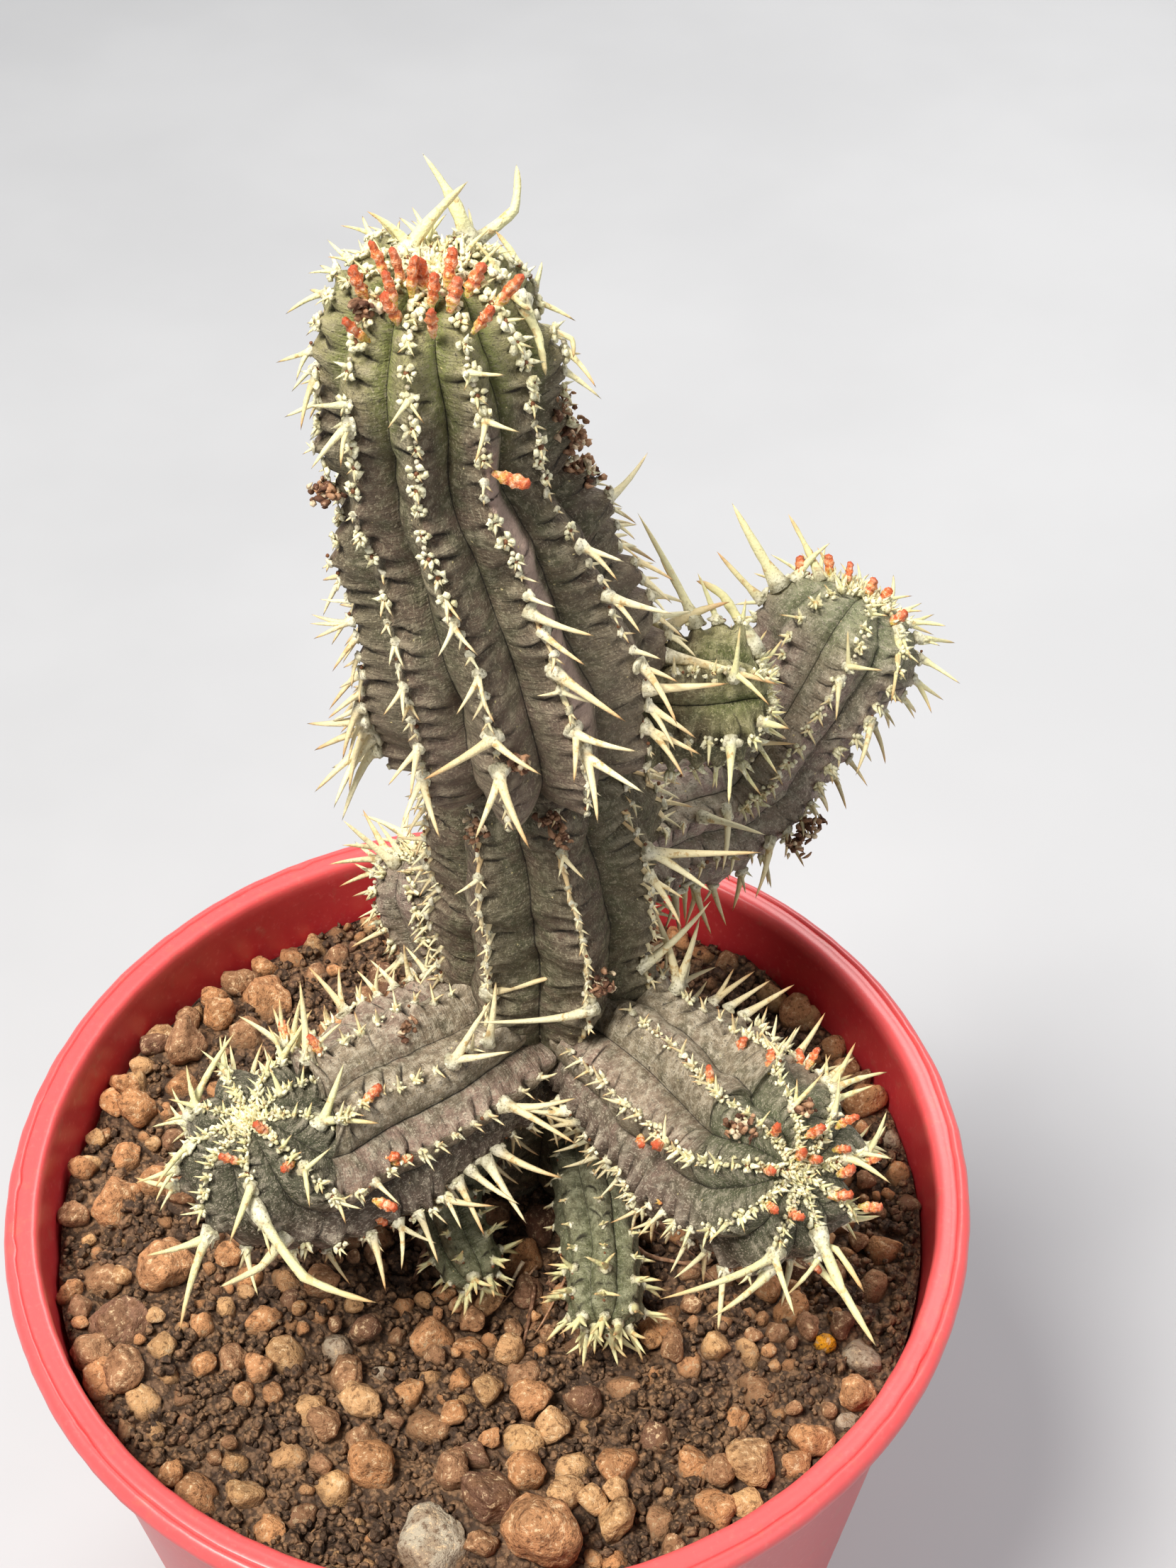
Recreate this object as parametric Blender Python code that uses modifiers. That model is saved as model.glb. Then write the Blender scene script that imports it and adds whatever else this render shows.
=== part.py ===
"""A spiny ribbed euphorbia in a round plastic pot of gravelly soil.

Lengths are metres and +Z is up. The origin is the centre of the pot's underside, and the plant's front is
the -Y side. Every stem is a ribbed loft along a smooth centre line, with its spines and flower heads fused in.
"""
import math
import random

import bmesh
import bpy
import numpy as np
from mathutils import Euler, Matrix, Vector

MM = 0.001
GAP = 0.3 * MM
SEED = 17

# Pot
POT_HEIGHT = 95 * MM
RIM_RADIUS = 55 * MM
LIP_WIDTH = 3.8 * MM
WALL_THICK = 1.4 * MM
WALL_TOP = 91 * MM
WALL_TOP_RADIUS = 52.4 * MM
WALL_TAPER = math.radians(7)
FOOT_RISE = 1.2 * MM
FLOOR_TOP = 3.2 * MM
CORNER_TOP = 5 * MM
CORNER_WIDTH = 1.5 * MM
CHANNEL_OUTER = 32 * MM
CHANNEL_INNER = 11 * MM
DRAIN_COUNT = 6
DRAIN_RADIUS = 2.5 * MM
DRAIN_CIRCLE = 21.5 * MM
POT_STEPS = 44

# Soil
SOIL_TOP = 86.5 * MM
STONE_COUNT = 130
STONE_SMALL = 2.8 * MM
STONE_LARGE = 5.6 * MM
STONE_TRIES = 1500
BARE_CENTRE = Vector((3 * MM, 0, 0))
BARE_RADIUS = 17 * MM

# Where stems meet the soil and each other
HOLE_STEPS = 24
SEAT_GAP = 0.4 * MM
CREST_SWELL = 1.03
CREST_DIP = 0.96

# Spines and flower heads
SPINE_RADIUS = 0.5 * MM
SPINE_ROOT = 1.5 * MM
SPINE_SPREAD = math.radians(32)
SPINE_DROOP = math.radians(16)
SPINE_SHORTEST = 2.0 * MM
SPINE_CLEARANCE = 0.7 * MM
HEAD_HEIGHT = 3.2 * MM
HEAD_RADIUS = 0.95 * MM

# Stems. Path points, girth (share of the length, crest radius) and spine lengths (share, length) are in
# millimetres; "buds" counts the flower heads round the tip.
STEMS = {
    "lower_growth": dict(
        path=[(7.4, 10.5, 78), (7.5, 10.4, 100), (7.7, 9.6, 130), (6.4, 8.9, 147), (5.6, 8.6, 154)],
        girth=[(0, 10), (0.3, 10.8), (0.55, 11.8), (0.78, 12.3), (1, 12)],
        dome=4, ribs=8, depth=0.22, pitch=4.6, phase=10, spines=[(0, 0), (0.2, 0), (0.35, 4), (1, 3.5)], buds=0),
    "upper_growth": dict(
        path=[(5.7, 8.7, 148), (4.4, 8.0, 166), (0.3, 7.1, 188), (-1.0, 6.4, 202), (-0.9, 6.0, 211)],
        girth=[(0, 9), (0.07, 12.6), (0.16, 14.3), (0.3, 14.3), (0.48, 13.1), (0.63, 11.9), (0.8, 10.9), (1, 10.6)],
        dome=9.5, ribs=11, depth=0.2, pitch=4.6, phase=16.4,
        spines=[(0, 0), (0.09, 0), (0.1, 9), (0.2, 8.5), (0.26, 4.5), (0.44, 3.5), (0.5, 1), (0.72, 1), (0.78, 4),
                (0.93, 5.5), (0.95, 8.5), (1, 8.5)], buds=9),
    "left_branch": dict(
        path=[(5, 8, 110), (0, 3, 112), (-6.5, -1.2, 112.5), (-13, -4.8, 112.8), (-19, -8, 113.5),
              (-26.6, -11.8, 118.5)],
        girth=[(0, 7.5), (0.2, 9.4), (0.4, 10.8), (0.7, 10.6), (1, 10)],
        dome=8.5, ribs=9, depth=0.22, pitch=4.7, phase=10,
        spines=[(0, 0), (0.25, 0), (0.26, 9), (0.5, 4), (0.7, 5), (0.8, 8), (1, 9)], buds=7),
    "right_branch": dict(
        path=[(9, 7.5, 110), (14, 3.5, 112), (19.5, -3.5, 112.8), (25.2, -10.5, 113.5), (31.8, -18.6, 118.5)],
        girth=[(0, 7.5), (0.25, 9.4), (0.5, 10.9), (0.75, 10.9), (1, 10.2)],
        dome=8.5, ribs=9, depth=0.22, pitch=4.7, phase=10,
        spines=[(0, 0), (0.27, 0), (0.28, 9), (0.5, 4.5), (0.7, 5), (0.8, 8), (1, 9)], buds=7),
    "back_right_branch": dict(
        path=[(9, 10.5, 132), (20.3, 17, 131.5), (26.3, 21, 129.4), (31.4, 24.8, 131.4), (37, 28.5, 138.4),
              (44.3, 33.5, 149.8)],
        girth=[(0, 6.4), (0.3, 6.8), (0.5, 7.5), (0.7, 7.6), (0.85, 9), (1, 8.8)],
        dome=7, ribs=8, depth=0.22, pitch=4.8, phase=0,
        spines=[(0, 0), (0.26, 0), (0.27, 7), (0.5, 5), (0.7, 4), (0.85, 9), (1, 11)], buds=5),
    "back_left_branch": dict(
        path=[(4, 14, 103), (-2.5, 22.5, 107), (-5.4, 25, 112), (-7, 26.8, 120)],
        girth=[(0, 4.5), (0.4, 5.8), (0.8, 6), (1, 5.6)],
        dome=4.5, ribs=7, depth=0.2, pitch=4.8, phase=0,
        spines=[(0, 0), (0.36, 0), (0.37, 6), (1, 7)], buds=0),
    "side_bud": dict(
        path=[(15.5, 8.8, 158.6), (20.5, 9.4, 159.1), (24, 9.8, 159.4), (28.8, 10.2, 159.6)],
        girth=[(0, 4.6), (0.4, 5.5), (1, 5.4)],
        dome=4.5, ribs=6, depth=0.2, pitch=3.4, phase=30,
        spines=[(0, 0), (0.55, 0), (0.56, 6), (1, 7)], buds=0),
    "young_offset_left": dict(
        path=[(0.5, 3.5, 97.5), (-4.5, -1.5, 95.8), (-4.2, -7.5, 93.4), (-1.6, -13.8, 91.2)],
        girth=[(0, 3), (0.4, 4), (1, 3.8)],
        dome=3.4, ribs=6, depth=0.2, pitch=5.2, phase=0,
        spines=[(0, 0), (0.4, 0), (0.41, 2.6), (1, 3.2)], buds=0),
    "young_offset_right": dict(
        path=[(10, 4, 96), (11.6, -5, 94.8), (12, -13, 93.2), (11.6, -22.4, 92.2)],
        girth=[(0, 3.4), (0.4, 4.3), (1, 4.4)],
        dome=3.8, ribs=7, depth=0.2, pitch=5.2, phase=0,
        spines=[(0, 0), (0.3, 0), (0.31, 2.8), (1, 3.6)], buds=0),
}

# The stems that each side stem is seated against
SEATS = {
    "left_branch": ["lower_growth"],
    "right_branch": ["lower_growth", "left_branch"],
    "back_right_branch": ["lower_growth"],
    "back_left_branch": ["lower_growth"],
    "side_bud": ["upper_growth"],
    "young_offset_left": ["lower_growth"],
    "young_offset_right": ["lower_growth"],
}

MATERIALS = {
    "pot": ((0.52, 0.09, 0.08), 0.42),
    "soil": ((0.30, 0.15, 0.075), 0.95),
    "main_stem": ((0.13, 0.13, 0.10), 0.7),
    "left_branch": ((0.17, 0.16, 0.13), 0.7),
    "right_branch": ((0.17, 0.16, 0.13), 0.7),
    "back_right_branch": ((0.22, 0.21, 0.17), 0.7),
    "back_left_branch": ((0.22, 0.23, 0.17), 0.7),
    "side_bud": ((0.16, 0.20, 0.11), 0.7),
    "young_offset_left": ((0.24, 0.27, 0.18), 0.7),
    "young_offset_right": ((0.24, 0.27, 0.18), 0.7),
}


def clear_scene():
    """Remove the objects that Blender opens with."""
    for thing in list(bpy.data.objects):
        bpy.data.objects.remove(thing, do_unlink=True)


def new_collection(name):
    """Add a collection to the scene."""
    group = bpy.data.collections.new(name)
    bpy.context.scene.collection.children.link(group)
    return group


def new_object(name, mesh, group):
    """Put a mesh into a collection as an object."""
    thing = bpy.data.objects.new(name, mesh)
    group.objects.link(thing)
    return thing


def mesh_from(bm, name):
    """Turn a bmesh into a mesh with its faces pointing out."""
    bmesh.ops.recalc_face_normals(bm, faces=bm.faces)
    mesh = bpy.data.meshes.new(name)
    bm.to_mesh(mesh)
    bm.free()
    return mesh


def bake(thing):
    """Apply an object's modifiers."""
    graph = bpy.context.evaluated_depsgraph_get()
    mesh = bpy.data.meshes.new_from_object(thing.evaluated_get(graph))
    thing.modifiers.clear()
    thing.data = mesh


def paint(thing):
    """Give an object its own Principled material."""
    colour, roughness = MATERIALS[thing.name]
    material = bpy.data.materials.new(thing.name)
    material.use_nodes = True
    shader = material.node_tree.nodes["Principled BSDF"]
    shader.inputs["Base Color"].default_value = (*colour, 1)
    shader.inputs["Roughness"].default_value = roughness
    shader.inputs["Metallic"].default_value = 0
    thing.data.materials.clear()
    thing.data.materials.append(material)


def turned(name, profile, steps, group):
    """A solid turned about Z from a profile in the XZ plane."""
    bm = bmesh.new()
    verts = [bm.verts.new((x, 0, z)) for x, z in profile]
    for first, second in zip(verts, verts[1:]):
        bm.edges.new((first, second))
    mesh = bpy.data.meshes.new(name)
    bm.to_mesh(mesh)
    bm.free()
    thing = new_object(name, mesh, group)
    screw = thing.modifiers.new("turn", "SCREW")
    screw.steps = steps
    screw.render_steps = steps
    screw.use_merge_vertices = True
    screw.merge_threshold = 0.00001
    return thing


def hide_cutter(thing):
    """Mark an object as a cutter."""
    thing.hide_render = True
    thing.display_type = "WIRE"


def cut(thing, cutter):
    """Cut an object with a cutter."""
    hide_cutter(cutter)
    boolean = thing.modifiers.new("cut", "BOOLEAN")
    boolean.operation = "DIFFERENCE"
    boolean.object = cutter
    bake(thing)


def fuse(thing, group):
    """Join every object of a collection to an object, then remove the collection."""
    boolean = thing.modifiers.new("fuse", "BOOLEAN")
    boolean.operation = "UNION"
    boolean.operand_type = "COLLECTION"
    boolean.collection = group
    bake(thing)
    for piece in list(group.objects):
        bpy.data.objects.remove(piece, do_unlink=True)
    bpy.data.collections.remove(group)


def wall_radius(height):
    """The outside radius of the pot's wall at a height."""
    return WALL_TOP_RADIUS - (WALL_TOP - height) * math.tan(WALL_TAPER)


def inner_radius(height):
    """The inside radius of the pot's wall at a height."""
    return wall_radius(height) - WALL_THICK


def make_pot(group, cutters):
    """The pot: a flat lip, a tapering wall and a raised channel with drainage holes underneath."""
    lip_inner = RIM_RADIUS - LIP_WIDTH
    foot = wall_radius(0)
    profile = [
        (0, FLOOR_TOP),
        (inner_radius(0) - CORNER_WIDTH, FLOOR_TOP),
        (inner_radius(CORNER_TOP), CORNER_TOP),
        (inner_radius(WALL_TOP), WALL_TOP),
        (lip_inner, POT_HEIGHT - 0.4 * MM),
        (lip_inner + 0.5 * MM, POT_HEIGHT),
        (RIM_RADIUS - 1.5 * MM, POT_HEIGHT),
        (RIM_RADIUS - 0.5 * MM, POT_HEIGHT - 0.4 * MM),
        (RIM_RADIUS, POT_HEIGHT - 1.3 * MM),
        (RIM_RADIUS - 0.2 * MM, POT_HEIGHT - 2.6 * MM),
        (RIM_RADIUS - 0.9 * MM, POT_HEIGHT - 3.3 * MM),
        (WALL_TOP_RADIUS, WALL_TOP),
        (foot, 0.8 * MM),
        (foot - 0.8 * MM, 0),
        (CHANNEL_OUTER, 0),
        (CHANNEL_OUTER - 1 * MM, FOOT_RISE),
        (CHANNEL_INNER + 1 * MM, FOOT_RISE),
        (CHANNEL_INNER, 0),
        (0, 0),
    ]
    pot = turned("pot", profile, POT_STEPS, group)
    bm = bmesh.new()
    for index in range(DRAIN_COUNT):
        turn = Matrix.Rotation(math.tau * (index + 0.5) / DRAIN_COUNT, 4, "Z")
        place = turn @ Matrix.Translation((DRAIN_CIRCLE, 0, FOOT_RISE))
        bmesh.ops.create_cone(bm, cap_ends=True, segments=10, radius1=DRAIN_RADIUS, radius2=DRAIN_RADIUS,
                              depth=2 * FLOOR_TOP, matrix=place)
    cut(pot, new_object("drains", mesh_from(bm, "drains"), cutters))
    pot.data.shade_smooth()
    pot.data.set_sharp_from_angle(angle=math.radians(35))
    paint(pot)


def measured_path(points):
    """A smooth curve through points given in millimetres: its running lengths and its places."""
    knots = [Vector(point) * MM for point in points]
    knots = [2 * knots[0] - knots[1]] + knots + [2 * knots[-1] - knots[-2]]
    places = []
    for a, b, c, d in zip(knots, knots[1:], knots[2:], knots[3:]):
        for step in range(16):
            t = step / 16
            places.append(0.5 * (2 * b + (c - a) * t + (2 * a - 5 * b + 4 * c - d) * t ** 2
                                 + (3 * b - a - 3 * c + d) * t ** 3))
    places.append(knots[-2])
    places = np.array([tuple(place) for place in places])
    steps = np.linalg.norm(np.diff(places, axis=0), axis=1)
    return np.concatenate(([0], np.cumsum(steps))), places


def place_along(path, length):
    """The place on a measured path at a length from its start."""
    lengths, places = path
    return Vector([float(np.interp(length, lengths, places[:, axis])) for axis in range(3)])


def interpolated(pairs, share):
    """A value read between (share, value) pairs."""
    return float(np.interp(share, [pair[0] for pair in pairs], [pair[1] for pair in pairs]))


def stem_rings(stem, extra=0.0):
    """The rings of a stem from root to tip, as dicts of place, axis, side, radius, lift and share.

    The lift is the angle by which the surface turns from the side towards the tip on the dome.
    """
    path = measured_path(stem["path"])
    total = path[0][-1]
    dome = stem["dome"] * MM
    body = total - dome
    count = 2 * round(body / (stem["pitch"] * MM))
    stops = [(body * index / count, 0.0) for index in range(count + 1)]
    steps = 4
    for index in range(1, steps):
        lift = math.radians(90) * index / steps
        stops.append((body + dome * math.sin(lift), lift))
    rings = []
    side = None
    for length, lift in stops:
        step = 0.5 * MM
        ahead = place_along(path, min(length + step, total))
        behind = place_along(path, max(length - step, 0))
        axis = (ahead - behind).normalized()
        if side is None:
            side = Vector((0, -1, 0)) if abs(axis.z) > 0.7 else Vector((0, 0, 1))
        side = (side - axis * side.dot(axis)).normalized()
        radius = interpolated(stem["girth"], length / total) * MM * math.cos(lift) + extra
        rings.append(dict(place=place_along(path, length), axis=axis, side=side, radius=radius, lift=lift,
                          share=length / total))
    tip = place_along(path, total) + rings[-1]["axis"] * extra
    return rings, tip


def stem_ring_radius(stem, height):
    """The crest radius of an upright stem where it passes a height."""
    foot, head = stem["path"][0][2] * MM, stem["path"][-1][2] * MM
    return interpolated(stem["girth"], (height - foot) / (head - foot)) * MM


def crest_gain(index):
    """Crests swell at every second ring, where the areoles sit."""
    return CREST_SWELL if index % 2 else CREST_DIP


def stem_mesh(name, stem, extra=0.0):
    """A closed ribbed loft with a crest and a valley point for every rib."""
    rings, tip = stem_rings(stem, extra)
    points = 2 * stem["ribs"]
    bm = bmesh.new()
    loops = []
    for index, ring in enumerate(rings):
        across = ring["axis"].cross(ring["side"])
        loop = []
        for point in range(points):
            angle = math.radians(stem["phase"]) + math.tau * point / points
            reach = ring["radius"] * (1 - stem["depth"] if point % 2 else crest_gain(index))
            out = ring["side"] * math.cos(angle) + across * math.sin(angle)
            loop.append(bm.verts.new(ring["place"] + out * reach))
        loops.append(loop)
    for first, second in zip(loops, loops[1:]):
        for point in range(points):
            after = (point + 1) % points
            bm.faces.new((first[point], first[after], second[after], second[point]))
    root = bm.verts.new(rings[0]["place"])
    crown = bm.verts.new(tip)
    for point in range(points):
        after = (point + 1) % points
        bm.faces.new((root, loops[0][after], loops[0][point]))
        bm.faces.new((crown, loops[-1][point], loops[-1][after]))
    bmesh.ops.triangulate(bm, faces=bm.faces)
    return mesh_from(bm, name)


def areoles(stem):
    """The places on a stem where spines grow: every second ring, on alternate ribs."""
    rings = stem_rings(stem)[0]
    found = []
    for index, ring in enumerate(rings):
        if index % 2 == 0:
            continue
        across = ring["axis"].cross(ring["side"])
        row = index // 2
        for rib in range(stem["ribs"]):
            if (rib + row) % 2:
                continue
            angle = math.radians(stem["phase"]) + math.tau * rib / stem["ribs"]
            radial = ring["side"] * math.cos(angle) + across * math.sin(angle)
            out = radial * math.cos(ring["lift"]) + ring["axis"] * math.sin(ring["lift"])
            found.append(dict(place=ring["place"] + radial * ring["radius"] * crest_gain(index), out=out,
                              sideways=ring["axis"].cross(radial), axis=ring["axis"], share=ring["share"],
                              lift=ring["lift"]))
    return found


def capsules(stem):
    """A stem's body as a chain of (start, end, radius)."""
    rings, tip = stem_rings(stem)
    places = [ring["place"] for ring in rings] + [tip]
    radii = [ring["radius"] for ring in rings]
    return [(a, b, r) for a, b, r in zip(places, places[1:], radii)]


def distance_to_segment(point, start, end):
    """The distance from a point to a straight segment."""
    line = end - start
    share = max(0, min(1, (point - start).dot(line) / max(line.length_squared, 1e-12)))
    return (point - start - line * share).length


class Surroundings:
    """What a spine must keep clear of: other stems, other stems' spines, the stones, the soil and the pot."""

    def __init__(self):
        self.bodies = {name: capsules(stem) for name, stem in STEMS.items()}
        self.spines = []
        self.stones = []

    def same_node(self, first, second):
        """The two growths of the main stem are one node."""
        growths = ("lower_growth", "upper_growth")
        return first == second or (first in growths and second in growths)

    def is_clear_of_stems(self, place, radius):
        """Whether a round thing keeps clear of every stem's body."""
        for chain in self.bodies.values():
            for first, second, girth in chain:
                if distance_to_segment(place, first, second) < girth * CREST_SWELL + radius + SPINE_CLEARANCE:
                    return False
        return True

    def is_clear(self, owner, start, end):
        """Whether a spine from start to end keeps clear of everything but its own stem."""
        count = max(3, int((end - start).length / MM))
        points = [start.lerp(end, index / count) for index in range(1, count + 1)]
        for point in points:
            if point.z < SOIL_TOP + SPINE_CLEARANCE:
                return False
            if point.z < POT_HEIGHT and point.xy.length > inner_radius(point.z) - 2 * SPINE_CLEARANCE:
                return False
            for place, radius in self.stones:
                if (point - place).length < radius + SPINE_CLEARANCE:
                    return False
            for name, chain in self.bodies.items():
                if self.same_node(name, owner):
                    continue
                for first, second, radius in chain:
                    if distance_to_segment(point, first, second) < radius * CREST_SWELL + SPINE_CLEARANCE:
                        return False
            for name, first, second in self.spines:
                if self.same_node(name, owner):
                    continue
                if distance_to_segment(point, first, second) < 2 * SPINE_CLEARANCE:
                    return False
        return True


def add_spine(group, start, end):
    """A three-sided needle from start to its point at end."""
    bm = bmesh.new()
    bmesh.ops.create_cone(bm, cap_ends=True, segments=3, radius1=SPINE_RADIUS, radius2=0,
                          depth=(end - start).length)
    bmesh.ops.remove_doubles(bm, verts=bm.verts, dist=0.00001)
    turn = (end - start).to_track_quat("Z", "Y").to_matrix().to_4x4()
    bm.transform(Matrix.Translation((start + end) / 2) @ turn)
    new_object("spine", mesh_from(bm, "spine"), group)


def grow_spines(name, stem, group, around, rng):
    """Pairs of spines at a stem's areoles, bent clear of other pieces or left out."""
    for areole in areoles(stem):
        length = interpolated(stem["spines"], areole["share"]) * MM
        if length < SPINE_SHORTEST:
            continue
        for hand in (-1, 1):
            reach = length * rng.uniform(0.8, 1.15)
            spread = SPINE_SPREAD * rng.uniform(0.8, 1.2)
            sideways = areole["sideways"] * hand
            start = areole["place"] - areole["out"] * SPINE_ROOT + sideways * 0.5 * MM
            for droop in (1, -1, 3, -3):
                lean = SPINE_DROOP * droop * math.cos(areole["lift"])
                aim = areole["out"] * math.cos(spread) * math.cos(lean) + sideways * math.sin(spread)
                aim = (aim - areole["axis"] * math.sin(lean)).normalized()
                end = start + aim * (reach + SPINE_ROOT)
                if around.is_clear(name, areole["place"], end):
                    around.spines.append((name, start, end))
                    add_spine(group, start, end)
                    break


def grow_heads(name, stem, group, around, rng):
    """Small flower heads in a ring round a stem's tip."""
    ring = stem_rings(stem)[0][-2]
    across = ring["axis"].cross(ring["side"])
    for index in range(stem["buds"]):
        angle = math.radians(stem["phase"]) + math.tau * (index + 0.5) / stem["buds"]
        radial = ring["side"] * math.cos(angle) + across * math.sin(angle)
        aim = (radial * 0.35 + ring["axis"]).normalized()
        start = ring["place"] + radial * ring["radius"] * 0.8 - aim * 1.2 * MM
        end = start + aim * (HEAD_HEIGHT * rng.uniform(0.85, 1.1) + 1.2 * MM)
        if not around.is_clear(name, start, end):
            continue
        around.spines.append((name, start, end))
        bm = bmesh.new()
        bmesh.ops.create_cone(bm, cap_ends=True, segments=5, radius1=0.6 * HEAD_RADIUS, radius2=HEAD_RADIUS,
                              depth=(end - start).length)
        bm.transform(Matrix.Translation((start + end) / 2) @ aim.to_track_quat("Z", "Y").to_matrix().to_4x4())
        new_object("head", mesh_from(bm, "head"), group)


def make_main_stem(group, around, rng):
    """The upright stem: its lower and upper growths and their spines, in one body."""
    stem = new_object("main_stem", stem_mesh("main_stem", STEMS["lower_growth"]), group)
    repeats = new_collection("main stem repeats")
    new_object("upper_growth", stem_mesh("upper_growth", STEMS["upper_growth"]), repeats)
    for name in ("lower_growth", "upper_growth"):
        grow_spines(name, STEMS[name], repeats, around, rng)
        grow_heads(name, STEMS[name], repeats, around, rng)
    fuse(stem, repeats)
    paint(stem)


def make_branch(name, neighbours, group, cutters, around, rng):
    """A side stem, seated against the stem that it grows from and any other that it presses on."""
    stem = new_object(name, stem_mesh(name, STEMS[name]), group)
    for neighbour in neighbours:
        label = f"{name}_seat_{neighbour}"
        cut(stem, new_object(label, stem_mesh(label, STEMS[neighbour], SEAT_GAP), cutters))
    repeats = new_collection(name + " repeats")
    grow_spines(name, STEMS[name], repeats, around, rng)
    grow_heads(name, STEMS[name], repeats, around, rng)
    fuse(stem, repeats)
    paint(stem)


def scatter_stones(around, rng):
    """Places and radii for the gravel: large stones first, clear of each other, the pot and the stems."""
    stones = []
    for attempt in range(STONE_TRIES):
        if len(stones) == STONE_COUNT:
            break
        share = 1 - attempt / STONE_TRIES
        radius = STONE_SMALL + (STONE_LARGE - STONE_SMALL) * share * rng.uniform(0.6, 1)
        limit = inner_radius(SOIL_TOP) - radius - 2 * GAP
        angle = rng.uniform(0, math.tau)
        reach = limit * math.sqrt(rng.random())
        place = Vector((reach * math.cos(angle), reach * math.sin(angle), SOIL_TOP + 0.1 * radius))
        if (place.xy - BARE_CENTRE.xy).length < BARE_RADIUS + radius:
            continue
        if not around.is_clear_of_stems(place, radius):
            continue
        if any((place - other).length < 0.86 * (radius + size) for other, size in stones):
            continue
        stones.append((place, radius))
    around.stones = stones


def make_soil(group, cutters, around, rng):
    """The soil: a body that fills the pot to a hair's gap, a hole for the stem, and gravel fused on top."""
    side_gap = GAP / math.cos(WALL_TAPER)
    profile = [
        (0, SOIL_TOP),
        (0.5 * inner_radius(SOIL_TOP), SOIL_TOP),
        (inner_radius(SOIL_TOP) - side_gap, SOIL_TOP),
        (inner_radius(CORNER_TOP) - side_gap, CORNER_TOP + GAP),
        (inner_radius(0) - CORNER_WIDTH - side_gap, FLOOR_TOP + GAP),
        (0, FLOOR_TOP + GAP),
    ]
    soil = turned("soil", profile, POT_STEPS, group)
    stem = STEMS["lower_growth"]
    foot = Vector(stem["path"][0]) * MM
    ground = stem_ring_radius(stem, SOIL_TOP)
    hole_radius = (ground * CREST_SWELL + GAP) / math.cos(math.pi / HOLE_STEPS)
    depth = 2 * (SOIL_TOP - foot.z + GAP)
    bm = bmesh.new()
    bmesh.ops.create_cone(bm, cap_ends=True, segments=HOLE_STEPS, radius1=hole_radius, radius2=hole_radius,
                          depth=depth, matrix=Matrix.Translation((foot.x, foot.y, SOIL_TOP)))
    cut(soil, new_object("stem_hole", mesh_from(bm, "stem_hole"), cutters))
    gravel = new_collection("gravel")
    for place, radius in around.stones:
        bm = bmesh.new()
        bmesh.ops.create_icosphere(bm, subdivisions=1, radius=radius)
        for vert in bm.verts:
            vert.co *= rng.uniform(0.86, 1)
        turn = Euler([rng.uniform(0, math.tau) for axis in range(3)]).to_matrix().to_4x4()
        flat = Matrix.Diagonal((1, rng.uniform(0.8, 1), rng.uniform(0.65, 0.85), 1))
        spin = Matrix.Rotation(rng.uniform(0, math.tau), 4, "Z")
        bm.transform(Matrix.Translation(place) @ spin @ flat @ turn)
        new_object("stone", mesh_from(bm, "stone"), gravel)
    fuse(soil, gravel)
    soil.data.shade_flat()
    paint(soil)


def main():
    """Build the potted plant."""
    clear_scene()
    rng = random.Random(SEED)
    parts = new_collection("potted_euphorbia")
    cutters = new_collection("cutters")
    around = Surroundings()
    scatter_stones(around, rng)
    make_pot(parts, cutters)
    make_soil(parts, cutters, around, rng)
    make_main_stem(parts, around, rng)
    for name, neighbours in SEATS.items():
        make_branch(name, neighbours, parts, cutters, around, rng)


main()
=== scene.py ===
"""Looks of the potted euphorbia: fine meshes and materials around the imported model.

Lengths are millimetres until a mesh is made, +Z is up and the plant's front is -Y. Each stem is a ribbed
loft on the same centre line as its CAD node. Spines and flower heads grow from areoles, the small pads along
the crests of the ribs. Where the photograph shows a spine or a flower head clearly, it is given in the
photograph's pixels, and it grows from the nearest areole that faces the camera.
"""

import functools
import math

import bmesh
import bpy
import numpy as np
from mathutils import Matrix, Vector


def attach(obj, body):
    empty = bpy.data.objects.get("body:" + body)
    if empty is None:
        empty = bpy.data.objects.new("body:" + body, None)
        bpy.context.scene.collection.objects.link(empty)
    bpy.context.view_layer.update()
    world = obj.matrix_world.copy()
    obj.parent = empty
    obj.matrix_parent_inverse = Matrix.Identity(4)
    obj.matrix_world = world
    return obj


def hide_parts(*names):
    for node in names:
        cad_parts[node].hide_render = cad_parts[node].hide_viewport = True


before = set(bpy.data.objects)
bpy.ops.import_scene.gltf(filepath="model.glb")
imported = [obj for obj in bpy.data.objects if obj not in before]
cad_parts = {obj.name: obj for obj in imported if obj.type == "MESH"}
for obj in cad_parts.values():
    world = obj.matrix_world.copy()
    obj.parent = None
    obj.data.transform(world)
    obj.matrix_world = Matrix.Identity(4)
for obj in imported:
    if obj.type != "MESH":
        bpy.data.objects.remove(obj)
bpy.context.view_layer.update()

MM = 0.001
TURN = math.tau
SEED = 17

# The photograph's camera, in pixels, millimetres and degrees
PHOTO_WIDTH, PHOTO_HEIGHT = 1659, 2212
FOCAL = 3322
SENSOR = 36
CAMERA_PLACE = np.array((0, -161.86, 315.34))
CAMERA_PITCH = 44.6
CAMERA_YAW = 4.0

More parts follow.
